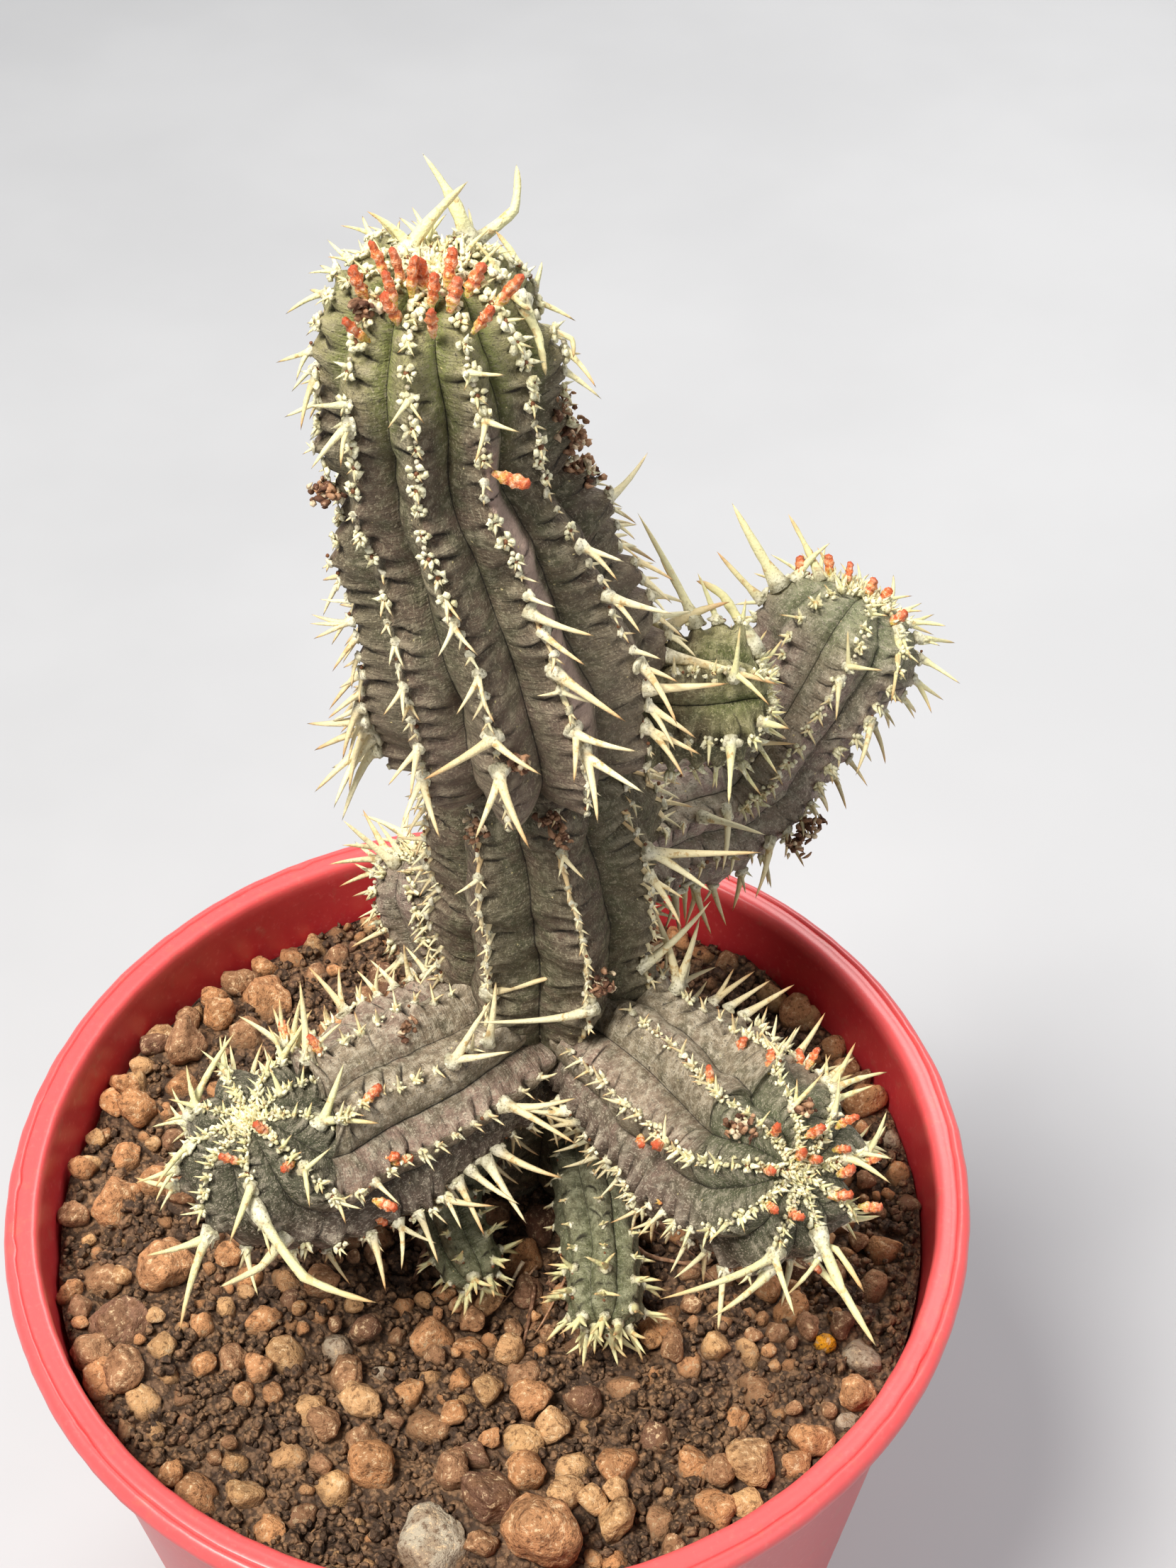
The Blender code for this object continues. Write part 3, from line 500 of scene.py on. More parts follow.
class Batch:
    """Closed little skins gathered into one mesh, with named numbers on their points."""

    def __init__(self):
        self.places, self.quads, self.triangles, self.values, self.count = [], [], [], {}, 0

    def add(self, places, quads, triangles, **values):
        """Add a skin."""
        self.places.append(places)
        self.quads.append(quads + self.count)
        self.triangles.append(triangles + self.count)
        for label, value in values.items():
            value = np.asarray(value, float)
            wanted = (len(places), *value.shape[1:]) if value.ndim == 2 else (len(places),)
            self.values.setdefault(label, []).append(np.broadcast_to(value, wanted))
        self.count += len(places)

    def add_rings(self, rings, start, end, **values):
        """Add a skin through rings of places, closed at a start point and an end point."""
        rows, columns = rings.shape[:2]
        places = np.concatenate((rings.reshape(-1, 3), [start], [end]))
        self.add(places, *ring_faces(rows, columns), **values)

    def add_ball(self, level, place, sizes, ways, bumps, seed, **values):
        """Add a lumpy ball with its sizes along three directions."""
        ball, faces = unit_ball(level)
        shape = ball * (1 + bumps * ripple(ball, 0.8, seed))[:, None]
        self.add(place + (shape * sizes) @ np.array(ways), NO_QUADS, faces, **values)

    def build(self, name, material, slot, replaces=()):
        """Make the mesh a piece of the object."""
        mesh = bpy.data.meshes.new(name)
        faces = np.concatenate(self.quads).tolist() + np.concatenate(self.triangles).tolist()
        mesh.from_pydata((np.concatenate(self.places) * MM).tolist(), [], faces)
        for label, parts in self.values.items():
            data = np.concatenate(parts).astype(np.float32)
            layer = mesh.attributes.new(label, "FLOAT_VECTOR" if data.ndim == 2 else "FLOAT", "POINT")
            layer.data.foreach_set("vector" if data.ndim == 2 else "value", data.ravel())
        mesh.shade_smooth()
        mesh.materials.append(material)
        piece = add_object(name, mesh)
        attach(piece, "root")
        if replaces:
            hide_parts(*replaces)
        return piece


def tube(batch, points, radii, sides, **values):
    """A closed tube along points that ends in a point. Its number share runs from 0 at the start to 1."""
    points, radii = np.asarray(points), np.asarray(radii)
    ways = unit(np.gradient(points, axis=0))
    first, second = crosswise(ways, unit(points[-1] - points[0]))
    turns = even_turns(sides)
    ring = first[:, None] * np.cos(turns)[:, None] + second[:, None] * np.sin(turns)[:, None]
    rings = points[:, None] + ring * radii[:, None, None]
    share = np.repeat(np.linspace(0, 1, len(points))[:-1], sides)
    batch.add_rings(rings[:-1], points[0], points[-1], share=np.concatenate((share, (0, 1))), **values)


# Stems

class Stem:
    """A ribbed stem: places on its skin, and its areoles.

    An arc is the length over the skin from the root. A place across a rib runs from -1 in one valley over 0
    on the crest to 1 in the next valley.
    """

    def __init__(self, name):
        vars(self).update(STEM_DEFAULTS | STEMS[name], name=name)
        self.phase, self.seed = math.radians(self.phase), list(STEMS).index(name) * 100 + SEED
        self.girth, self.spines = np.array(self.girth, float).T, np.array(self.spines, float).T
        self.twist = np.radians(np.interp(TWIST_SHARES, *np.array(self.twist, float).T))
        self.follow(np.array(self.path, float))
        self.measure()
        rng = np.random.default_rng(self.seed)
        rows = int(self.counts[-1]) + 5
        self.offsets = 0.5 * (np.arange(self.ribs) % 2) + rng.uniform(-0.15, 0.15, self.ribs)
        self.slants = rng.uniform(0.05, 0.5, self.ribs)
        self.swells = rng.uniform(0.55, 1.25, (self.ribs, rows))
        self.folds = rng.uniform(-0.35, 1.15, (self.ribs, 2, rows))
        self.tones = rng.uniform(0, 1, (self.ribs, 2))

    def follow(self, knots):
        """Lay the centre line through its knots and carry a side direction along it."""
        knots = np.vstack((2 * knots[0] - knots[1], knots, 2 * knots[-1] - knots[-2]))
        t = (np.arange(32) / 32)[:, None]
        spans = [0.5 * (2 * b + (c - a) * t + (2 * a - 5 * b + 4 * c - d) * t ** 2
                        + (3 * b - a - 3 * c + d) * t ** 3)
                 for a, b, c, d in zip(knots, knots[1:], knots[2:], knots[3:])]
        self.places = np.vstack((*spans, knots[-2]))
        steps = np.linalg.norm(np.diff(self.places, axis=0), axis=1)
        self.lengths = np.concatenate(([0], np.cumsum(steps)))
        self.total = self.lengths[-1]
        self.axes = unit(np.gradient(self.places, self.lengths, axis=0))
        side = np.array((0.0, -1, 0)) if abs(self.axes[0][2]) > 0.7 else np.array((0.0, 0, 1))
        self.sides = np.empty_like(self.axes)
        for index, axis in enumerate(self.axes):
            side = unit(side - axis * (side @ axis))
            self.sides[index] = side

    def measure(self):
        """Tables from arc to length, to lift on the dome and to the count of areoles passed."""
        body = self.total - self.dome
        lifts = np.radians(np.linspace(0, 90, 61))
        self.arc_lengths = np.concatenate((np.linspace(0, body, 200)[:-1], body + self.dome * np.sin(lifts)))
        self.arc_lifts = np.concatenate((np.zeros(199), lifts))
        radii = self.radius(self.arc_lengths) * np.cos(self.arc_lifts) ** self.blunt
        steps = np.hypot(np.diff(self.arc_lengths), np.where(self.arc_lifts[1:] > 0, np.diff(radii), 0))
        self.arcs = np.concatenate(([0], np.cumsum(steps)))
        pitches = self.pitch * (1 - 0.55 * smooth_step(0.4, 1.5, self.arc_lifts))
        self.counts = np.concatenate(([0], np.cumsum(steps / pitches[1:])))

    def radius(self, length):
        """The crest radius at a length, without the dome."""
        return np.interp(length / self.total, *self.girth)

    def along(self, vectors, length):
        """Vectors of the centre line read at a length."""
        return np.stack([np.interp(length, self.lengths, vectors[:, axis]) for axis in range(3)], -1)

    def youth(self, share):
        """How young the stem is at a share of its length, from 0 to 1."""
        return smooth_step(self.green_from, self.green_from + 0.4, share)

    @staticmethod
    def bulge(share):
        """The relief from one fold up to the next: steep just above the fold, then a long slope."""
        return smooth_step(0, 0.34, share) * (1 - 0.8 * smooth_step(0.36, 1, share)) - 0.42

    def skin(self, arc, rib, across):
        """Places on the skin, the directions out of it, and the named numbers that colour it."""
        arc, rib, across = np.broadcast_arrays(arc, rib, across)
        length = np.interp(arc, self.arcs, self.arc_lengths)
        lift = np.interp(arc, self.arcs, self.arc_lifts)
        share = length / self.total
        axis = unit(self.along(self.axes, length))
        side = unit(self.along(self.sides, length))
        girth = self.radius(length) * np.cos(lift) ** self.blunt
        turn = TURN / self.ribs
        angle = self.phase + (rib + 0.5 * across) * turn + np.interp(share, TWIST_SHARES, self.twist)
        unrolled = np.stack((girth * np.cos(angle), girth * np.sin(angle), arc), -1)
        angle = angle + 0.05 * turn * ripple(unrolled, 9, self.seed)
        radial = side * np.cos(angle)[..., None] + np.cross(axis, side) * np.sin(angle)[..., None]
        out = radial * np.cos(lift)[..., None] + axis * np.sin(lift)[..., None]

        # The rib: its round crest, and the swells, knobs and notches between its areoles
        away, hand = np.abs(across), (across > 0).astype(int)
        height = 0.66 * np.cos(0.5 * math.pi * across) + 0.34 * (1 - away)
        small = np.cos(lift) ** 0.6 * min(1, self.radius(0.5 * self.total) / 9) * self.lumpy
        count = np.interp(arc, self.arcs, self.counts) - self.offsets[rib] + NOTCH
        last = self.swells.shape[1] - 2
        row = np.clip(np.floor(count), 0, last).astype(int)
        swell = self.swells[rib, row] * self.bulge(count - np.floor(count)) * bell(across, 0.22)
        knobs = (np.abs(np.sin(0.5 * math.pi * count)) ** 0.7 - 0.6) * bell(across, 0.55)
        knobs = knobs * (rib == self.knobbly) * smooth_step(0.75, 0.6, share)
        near = np.abs(count - np.rint(count))
        # Pit marks the notch below an areole, which the skin material paints nearly black as shade
        pit = bell(near, 0.13) * bell(across, 0.1) * smooth_step(0.7, 1.0, self.swells[rib, row])

        # The folds that slant down each flank, some strong and some missing
        turns = count + (self.slants[rib] + 0.3 * ripple(unrolled, 3, self.seed + 3)) * away
        below = np.clip(np.floor(turns), 0, last).astype(int)
        above = smooth_step(0.25, 0.75, turns - np.floor(turns))
        strength = self.folds[rib, hand, below] * (1 - above) + self.folds[rib, hand, below + 1] * above
        inside = 1 - smooth_step(0.1 + 0.3 * strength, 0.45 + 0.5 * strength, away)
        fold = smooth_step(0.02, 0.14, away) * inside * np.clip(strength, 0, 1)
        crease = bell(1 - away, 0.07)
        lumps = 0.5 * ripple(unrolled, 4.5, self.seed + 1) + 0.17 * ripple(unrolled, 1.5, self.seed + 2)
        crown = bell(math.pi / 2 - lift, 0.3)
        rise = small * (0.95 * swell + 0.78 * self.bulge(turns - np.floor(turns)) * fold + lumps + 1.9 * knobs
                        - 0.3 * pit - 0.3 * crease) - 0.9 * crown
        depth = self.depth * (1 + 1.8 * bell(length, 4.5))
        place = self.along(self.places, length) + radial * (girth * (1 - depth * (1 - height)))[..., None]

        # The pale stripe beside one rib, and the worn skin low on the stem
        stripe = smooth_step(0.06, 0.18, away) * smooth_step(0.72, 0.56, away)
        stripe = stripe * smooth_step(0.16, 0.26, share) * smooth_step(0.84, 0.7, share)
        bare = np.where((rib == self.bare) & (hand == 1), stripe, 0.0)
        bare = np.maximum(bare, self.worn * smooth_step(0.5, 0.2, share))
        # Sky is how much the skin faces up: the skin material paints shade where it faces down and light
        # where it faces up
        fields = dict(ridge=1 - away, turns=turns, fold=fold, pit=pit, unrolled=unrolled, bare=bare,
                      flank=self.tones[rib, hand], young=self.youth(share),
                      sky=out[..., 2] * (1 - np.abs(axis[..., 2])))
        return place + out * rise[..., None], out, fields

    def shape(self, batch, row_step, samples):
        """Add the stem's skin to a batch."""
        rib = np.repeat(np.arange(self.ribs), len(samples))
        across = np.tile(samples, self.ribs)
        rows = max(8, int(self.arcs[-1] / row_step))
        arcs = np.linspace(0, self.arcs[-1], rows + 1)
        places, _, fields = self.skin(arcs[:-1, None], rib, across)
        tip = self.skin(arcs[-1:], rib[:1], across[:1])
        values = {}
        for label, field in fields.items():
            width = (-1, 3) if label == "unrolled" else -1
            flat, ends = field.reshape(width), tip[2][label].reshape(width)
            values[label] = np.concatenate((flat, flat[:1], ends))
        batch.add_rings(places, self.places[0], tip[0][0], **values)

    def areoles(self):
        """The stem's areoles as dicts."""
        found, step = [], 0.3
        for rib in range(self.ribs):
            counts = np.arange(1, self.counts[-1] - 0.6) + self.offsets[rib]
            arcs = np.interp(counts, self.counts, self.arcs)
            places, outs, _ = self.skin(arcs, rib, 0.0)
            ups = unit(self.skin(arcs + step, rib, 0.0)[0] - self.skin(arcs - step, rib, 0.0)[0])
            for arc, place, out, up in zip(arcs, places, outs, ups):
                up = unit(up - out * (up @ out))
                share = float(np.interp(arc, self.arcs, self.arc_lengths)) / self.total
                found.append(dict(
                    stem=self, place=place, out=out, up=up, side=np.cross(up, out), share=share,
                    lift=float(np.interp(arc, self.arcs, self.arc_lifts)), young=float(self.youth(share)),
                    pixel=pixels_of(place), facing=float(unit(CAMERA_PLACE - place) @ out), tips=[]))
        return found

    def holds(self, place, margin):
        """Whether a place lies inside the stem, deeper than a margin."""
        away = np.linalg.norm(self.places - place, axis=1)
        nearest = int(np.argmin(away))
        return away[nearest] < self.radius(self.lengths[nearest]) - margin


# What grows on the stems

def is_open(areole, stems):
    """Whether an areole is clear of the soil and of every other stem. One of the same piece may be closer."""
    place, own = areole["place"], areole["stem"].name
    kin = next(names for names in PIECES.values() if own in names)
    return place[2] >= SOIL_TOP + 2 and not any(
        stem.holds(place, 1.5 if name in kin else -0.3) for name, stem in stems.items() if name != own)


def nearest_areole(areoles, pixel, taken, reach):
    """The free areole that faces the camera and appears nearest to a pixel."""
    best = None
    for areole in areoles:
        if areole["facing"] < HIDDEN or id(areole) in taken:
            continue
        away = float(np.hypot(*(areole["pixel"] - pixel))) + ASIDE_COST * max(0, -areole["facing"])
        if away < reach:
            best, reach = areole, away
    return best


def seen_spines(areoles, name):
    """Give the photographed spines of a stem to its areoles, as (points, stoutness) to be grown."""
    taken = set()
    for table, stoutness in ((STOUT, 1.45), (KINKED, 1.1), (SPINES, 1.0)):
        for numbers in table.get(name, ()):
            pairs = np.array(numbers, float).reshape(-1, 2)
            areole = nearest_areole(areoles, pairs[0], taken, SPINE_REACH)
            if areole is None:
                continue
            taken.add(id(areole))
            shift = areole["pixel"] - pairs[0]
            shift = shift * (0.35 + 0.65 * smooth_step(12, 32, np.hypot(*shift)))
            placed = []
            for pixel in pairs[1:]:
                apparent = np.hypot(*(pixel - pairs[0])) * pixel_size(areole["place"])
                target = areole["place"] + areole["out"] * 0.5 * apparent
                placed.append(place_near(pixel + shift, target))
            ends = [placed] if table is KINKED else [[tip] for tip in placed]
            areole["tips"] = [(points, stoutness) for points in ends]


def guessed_spines(areole, rng):
    """Spines for an areole that the photograph doesn't show clearly."""
    stem = areole["stem"]
    offset = "offset" in stem.name
    length = float(np.interp(areole["share"], *stem.spines))
    if areole["lift"] > 1.1 and not offset:
        length *= 0.5
    if areole["facing"] > 0.2 and stem.name in SPINES:
        length = min(length, 1.3 if stem.name in PIECES["main_stem"] else 2.0)
    spines = []
    for hand in (-1, 0.2, 1) if offset else (-1, 1):
        reach = length * rng.uniform(0.45, 1.25)
        if reach < 0.6:
            continue
        spread = math.radians(rng.uniform(18, 42)) * hand
        droop = math.radians(stem.droop + rng.uniform(-14, 14)) * math.cos(areole["lift"])
        aim = (areole["out"] * math.cos(spread) * math.cos(droop) + areole["side"] * math.sin(spread)
               - areole["up"] * math.sin(droop))
        spines.append(([areole["place"] + aim * reach], 1.25 if offset else 1.0))
    return spines


def grow_spine(batch, areole, points, stoutness, rng):
    """One spine from an areole's shield through points to its tip."""
    place, out = areole["place"], areole["out"]
    kinked = len(points) > 1
    length = float(np.linalg.norm(points[-1] - place))
    lean = unit(points[0] - place)
    arch = min(0.25 + 0.09 * length, 0.9)
    foot = place - (lean - out * (lean @ out)) * arch - out * 0.3
    radius = (0.15 + 0.05 * min(length, 8)) * stoutness
    if kinked:
        kink, tip = points
        t = np.linspace(0, 1, 13)[:, None]
        broken = np.where(t < 0.5, foot + (kink - foot) * 2 * t, kink + (tip - kink) * (2 * t - 1))
        line = 0.6 * broken + 0.4 * curve(t, foot, 2 * kink - 0.5 * (foot + tip), tip)
    else:
        t = np.linspace(0, 1, 10 if length > 4 else 7 if length > 2 else 5)[:, None]
        bulge = foot + (points[0] - foot) * 0.32 + out * (0.4 * arch + length * rng.uniform(0.05, 0.12))
        line = curve(t, foot, bulge, points[0])
        line = line + areole["side"] * length * rng.uniform(-0.035, 0.035) * np.sin(math.pi * t)
    share = t[:, 0]
    radii = radius * ((1 - share) ** (0.45 if kinked else 0.62) * (1 + 0.6 * bell(share, 0.16)) + 0.03)
    radii = radii * (1 + (0.07 + 0.12 * areole["young"]) * rng.uniform(-1, 1, len(radii)))
    tone = rng.uniform(0, 1)
    sides = 7 if length > 5 else 6 if length > 2.5 else 4
    tube(batch, line, radii, sides, tone=tone, pad=SPINE, green=areole["young"])


def grow_star(batch, areole, rng):
    """The crust of an areole near a growing tip: lumps and short teeth round a brown eye, and a bead."""
    place, side, up, out = (areole[label] for label in ("place", "side", "up", "out"))
    ways = (side, up, out)
    upright = areole["stem"].name == "upper_growth"
    small = areole["stem"].pitch / 2.2 * rng.uniform(0.8, 1.2)
    tone, start = rng.uniform(0, 1), rng.uniform(0, TURN)
    crust = dict(tone=tone, pad=CRUST, green=areole["young"])
    count = int(rng.integers(5, 8)) if upright else int(rng.integers(4, 7))
    for lump in range(count):
        turn = start + TURN * (lump + rng.uniform(-0.3, 0.3)) / count
        way = side * math.cos(turn) + up * math.sin(turn)
        reach = small * (rng.uniform(0.5, 0.7) if upright else rng.uniform(0.35, 0.85))
        size = small * (rng.uniform(0.26, 0.42) if upright else rng.uniform(0.18, 0.36))
        if rng.random() < (0.15 if upright else 0.5):
            line = [place + way * 0.3 * reach - out * 0.3, place + way * 0.7 * reach + out * 0.1 * small,
                    place + way * reach + out * 0.4 * small,
                    place + way * rng.uniform(1.1, 1.8) * reach + out * rng.uniform(0.4, 1.5) * small]
            tube(batch, line, TOOTH_RADII * small, 5, **crust)
        else:
            sizes = (size, size * rng.uniform(0.9, 1.3), size * rng.uniform(0.5, 0.9))
            batch.add_ball(1, place + way * reach + out * 0.12 * small, sizes, ways, 0.35,
                           int(rng.integers(99)), share=0.0, **crust)
    eye = rng.uniform(0.2, 0.3) * small
    batch.add_ball(1, place + out * 0.12 * small, (eye, eye, eye), np.eye(3), 0.1, 0, share=0.0, tone=tone,
                   pad=EYE, green=0.0)
    if rng.random() < (0.6 if upright else 0.3):
        bead = rng.uniform(0.2, 0.3)
        batch.add_ball(1, place + up * rng.uniform(0.95, 1.15) * small, (bead, bead, bead), ways, 0.1, 0,
                       share=0.0, tone=tone, pad=BEAD, green=0.0)


def grow_pad(batch, areole, length, rng):
    """The chalky shield of an areole that carries spines, and sometimes a brown bead above it."""
    place, side, up, out = (areole[label] for label in ("place", "side", "up", "out"))
    ways = (side, up, out)
    small = areole["stem"].pitch / 2.2 * (0.55 if "offset" in areole["stem"].name else 1)
    colours = dict(share=0.0, tone=rng.uniform(0, 1), green=areole["young"])
    width = small * (0.34 + 0.055 * min(length, 7)) * rng.uniform(0.85, 1.15)
    sizes = (width, width * rng.uniform(1.0, 1.35), width * 0.55)
    batch.add_ball(3 if length > 5 else 2, place + up * 0.3 * width, sizes, ways, 0.4,
                   int(rng.integers(99)), pad=SHIELD, **colours)
    if rng.random() < 0.4:
        spot = place + up * rng.uniform(0.8, 1.05) * small - out * 0.1
        size = rng.uniform(0.16, 0.26)
        batch.add_ball(1, spot, (size, size, size), ways, 0.1, 0, pad=EYE, **colours)


def grow_margin(batch, stem, rib, low, high):
    """The horny strip that joins the areoles of a rib between two shares of the stem."""
    arcs = np.interp(np.array((low, high)) * stem.total, stem.arc_lengths, stem.arcs)
    arcs = np.arange(arcs[0], arcs[1], 0.45)
    places, outs, _ = stem.skin(arcs, rib, 0.0)
    wave = ripple(places, 1.3, stem.seed + rib)
    sideways = np.cross(outs, unit(np.gradient(places, axis=0)))
    line = places + outs * 0.06 + sideways * 0.1 * wave[:, None]
    taper = np.minimum(1, np.arange(len(arcs))[::-1] / 4 + 0.1)
    radii = (0.27 + 0.09 * ripple(places, 0.8, stem.seed + rib + 1)) * taper
    tube(batch, line, radii, 6, tone=0.5, pad=STRIP, green=0.0)


def grow_head(batch, foot, aim, height, rng):
    """A flower head: a yellow foot, and a lumpy orange-red body with two waists."""
    rise, radii = HEAD_PROFILE[:, :1], HEAD_PROFILE[:, 1:]
    first, second = crosswise(aim, aim)
    turns = even_turns(HEAD_SIDES)
    width = rng.uniform(0.8, 1.1)
    bend = first * rng.uniform(-0.5, 0.5) + second * rng.uniform(-0.5, 0.5)
    lobes = 1 + 0.2 * np.cos(5 * turns + rng.uniform(0, TURN)) * smooth_step(0.2, 0.5, rise)
    ring = first[:, None] * np.cos(turns) + second[:, None] * np.sin(turns)
    centres = foot + aim * rise * height + bend * rise ** 2 * height * 0.3
    lumps = 1 + 0.2 * rng.uniform(-1, 1, (len(rise), HEAD_SIDES))
    rings = centres[:, None] + (ring.T[None] * (radii * lobes * lumps * width)[..., None])
    # Dark marks the narrow waists, where the head material paints shade
    fields = [np.concatenate((np.repeat(field, HEAD_SIDES), (0, 1)))
              for field in (rise, 1 - smooth_step(0.36, 0.48, radii))]
    batch.add_rings(rings, foot, centres[-1] + aim * 0.04 * height, rise=fields[0], dark=fields[1],
                    tone=rng.uniform(0, 1))


def grow_heads(batch, areoles, name, rng):
    """The photographed flower heads of a stem, and a few on its far side."""
    taken = set()
    tall = 1.0 if name == "upper_growth" else 0.75
    for numbers in HEADS.get(name, ()):
        foot, top = np.array(numbers).reshape(2, 2)
        areole = nearest_areole(areoles, foot, taken, HEAD_REACH)
        if areole is None:
            continue
        taken.add(id(areole))
        place, out = areole["place"], areole["out"]
        height = tall * rng.uniform(3.1, 3.9)
        apparent = min(np.hypot(*(top - foot)) * pixel_size(place), 0.95 * height)
        start = place + (place_near(foot, place) - place) * 0.85
        depth = math.sqrt(height ** 2 - apparent ** 2)
        aim = unit(place_near(top, start) - place_near(foot, start)) * apparent + out * depth
        grow_head(batch, start - out * 0.25, unit(aim), height, rng)
    if name in HEADS:
        for areole in areoles:
            if areole["facing"] < -0.6 and 0.3 < areole["lift"] < 0.8 and rng.random() < 0.5:
                aim = unit(areole["out"] + areole["up"] * 0.2)
                grow_head(batch, areole["place"], aim, rng.uniform(2.2, 2.8), rng)


def grow_remains(batch, areoles, name, rng):
    """Dried flower remains: clumps of curled brown flakes."""
    t = np.linspace(0, 1, 5)[:, None]
    for x, y, radius, flakes in REMAINS.get(name, ()):
        pixel = np.array((x, y), float)
        areole = nearest_areole(areoles, pixel, set(), REMAINS_REACH)
        if areole is None:
            continue
        centre = areole["place"] + areole["out"] * 0.3 * radius
        centre = centre + (place_near(pixel, centre) - centre) * 0.7
        for _ in range(flakes):
            spot = centre + unit(rng.normal(size=3)) * radius * rng.uniform(0.1, 1)
            way, curl = unit(rng.normal(size=3)), unit(rng.normal(size=3))
            length = rng.uniform(0.5, 1.5)
            line = spot + way * (t - 0.5) * length + curl * np.sin(math.pi * t) * length * 0.3
            tube(batch, line, FLAKE_RADII * rng.uniform(0.5, 1.4), 5, tone=rng.uniform(0, 1))


def clothe(name, stem_names, stems, materials, rng):
    """All the pieces of one plant piece: skin, spines, flower heads and remains."""
    skin, spines, heads, remains = Batch(), Batch(), Batch(), Batch()
    slot = "young_stem" if name in YOUNG else "stem"
    for stem_name in stem_names:
        stem = stems[stem_name]
        stem.shape(skin, *(FINE if stem.radius(0.6 * stem.total) > 8.5 else COARSE))
        areoles = [areole for areole in stem.areoles() if is_open(areole, stems)]
        for areole in areoles:
            chance = 0.7 + 0.3 * areole["young"]
            areole["crusted"] = areole["share"] > stem.crust_from and rng.random() < chance
        seen_spines(areoles, stem_name)
        for areole in areoles:
            grown = areole["tips"] or guessed_spines(areole, rng)
            longest = 0.0
            for points, stoutness in grown:
                longest = max(longest, float(np.linalg.norm(points[-1] - areole["place"])))
                grow_spine(spines, areole, points, stoutness, rng)
            if areole["crusted"]:
                grow_star(spines, areole, rng)
            if not areole["crusted"] or longest > 4:
                grow_pad(spines, areole, longest, rng)
        for rib, low, high in stem.margins:
            grow_margin(spines, stem, rib, low, high)
        grow_heads(heads, areoles, stem_name, rng)
        grow_remains(remains, areoles, stem_name, rng)
    skin.build(name + "_skin", materials[SKINS.get(name, "stem_skin")], slot, (name,))
    spines.build(name + "_spines", materials["spine"], "spine")
    if heads.count:
        heads.build(name + "_flower_heads", materials["head"], "flower_head")
    if remains.count:
        remains.build(name + "_dried_flowers", materials["dried"], slot)


# Soil and pot

def wall_radius(height):
    """The outside radius of the pot's wall at a height."""
    return WALL_TOP_RADIUS - (WALL_TOP - height) * WALL_SLOPE


def inner_radius(height):
    """The inside radius of the pot's wall at a height."""
    return wall_radius(height) - WALL_THICK


def soil_height(x, y):
    """The height of the crumbly soil: higher in front and on the left, with a hollow at the plant's foot."""
    places = np.stack(np.broadcast_arrays(x, y, 0.0 * x), -1)
    tilt = -0.012 * np.asarray(x) - 0.03 * np.asarray(y)
    hollow = 3.2 * bell(np.hypot(np.asarray(x) + 3, np.asarray(y) + 9), 13)
    return SOIL_TOP + tilt - hollow + 0.7 * ripple(places, 9, 5) + 0.35 * ripple(places, 3, 6)


def ground_at(x, y):
    """The height of the soil at one place."""
    return float(soil_height(np.array([x]), np.array([y]))[0])


def make_soil(material):
    """The soil: a body that fills the pot, with a crumbly top."""
    side = SIDE_GAP / math.cos(math.atan(WALL_SLOPE))
    turns = even_turns(SOIL_COLUMNS)
    ways = np.stack((np.cos(turns), np.sin(turns)), -1)
    rim = inner_radius(SOIL_TOP) - side - 0.15
    sides = [(inner_radius(0) - CORNER_WIDTH - side, FLOOR_TOP + SIDE_GAP),
             (inner_radius(CORNER_TOP) - side, CORNER_TOP + SIDE_GAP), (rim - 0.35, SOIL_TOP - 3)]
    rings = [np.column_stack((ways * radius, np.full(SOIL_COLUMNS, height))) for radius, height in sides]
    for reach in np.linspace(rim, 0.6, 56):
        flat = ways * reach
        crumb = np.column_stack((flat, np.zeros(SOIL_COLUMNS)))
        height = soil_height(flat[:, 0], flat[:, 1]) + 0.3 * ripple(crumb, 1.4, 8)
        rings.append(np.column_stack((flat, height)))
    batch = Batch()
    batch.add_rings(np.array(rings), (0, 0, FLOOR_TOP + SIDE_GAP), (0, 0, ground_at(0.0, 0.0)))
    batch.build("soil_crumb", material, "soil", ("soil",))


def settle(x, y, height, radius, stones):
    """The height at which a stone meant for a height rests on the stones that are there."""
    if len(stones):
        apart = np.hypot(stones[:, 0] - x, stones[:, 1] - y)
        touch = 0.88 * (stones[:, 3] + radius)
        over = apart < touch
        if over.any():
            lifts = 0.8 * np.sqrt(touch[over] ** 2 - apart[over] ** 2)
            height = max(height, float(np.max(stones[over, 2] + lifts)))
    return height


def shaped_stone(level, rng):
    """A rounded stone with flattened sides and a rough skin, of radius one."""
    ball, faces = unit_ball(level)
    turned = ball @ np.linalg.qr(rng.normal(size=(3, 3)))[0]
    shape = turned / (np.sum(np.abs(turned) ** 2.4, axis=1) ** (1 / 2.4))[:, None]
    shape = shape * np.array((1, rng.uniform(0.7, 1), rng.uniform(0.6, 0.9)))
    for _ in range(int(rng.integers(5, 9))):
        way = unit(rng.normal(size=3))
        excess = np.maximum(0, shape @ way - rng.uniform(0.45, 0.75))
        shape = shape - way * (0.7 * excess)[:, None]
    broad, fine = (ripple(ball, size, int(rng.integers(1000))) for size in (0.6, 0.25))
    return shape * (1 + (0.09 * broad + 0.05 * fine))[:, None], faces


def turned_ways(rng):
    """Three directions at right angles, turned at random."""
    ways = np.linalg.qr(rng.normal(size=(3, 3)))[0]
    return ways if np.linalg.det(ways) > 0 else -ways


def random_spot(reach, rng):
    """A random place on a disc."""
    reach = reach * math.sqrt(rng.random())
    turn = rng.uniform(0, TURN)
    return reach * math.cos(turn), reach * math.sin(turn)


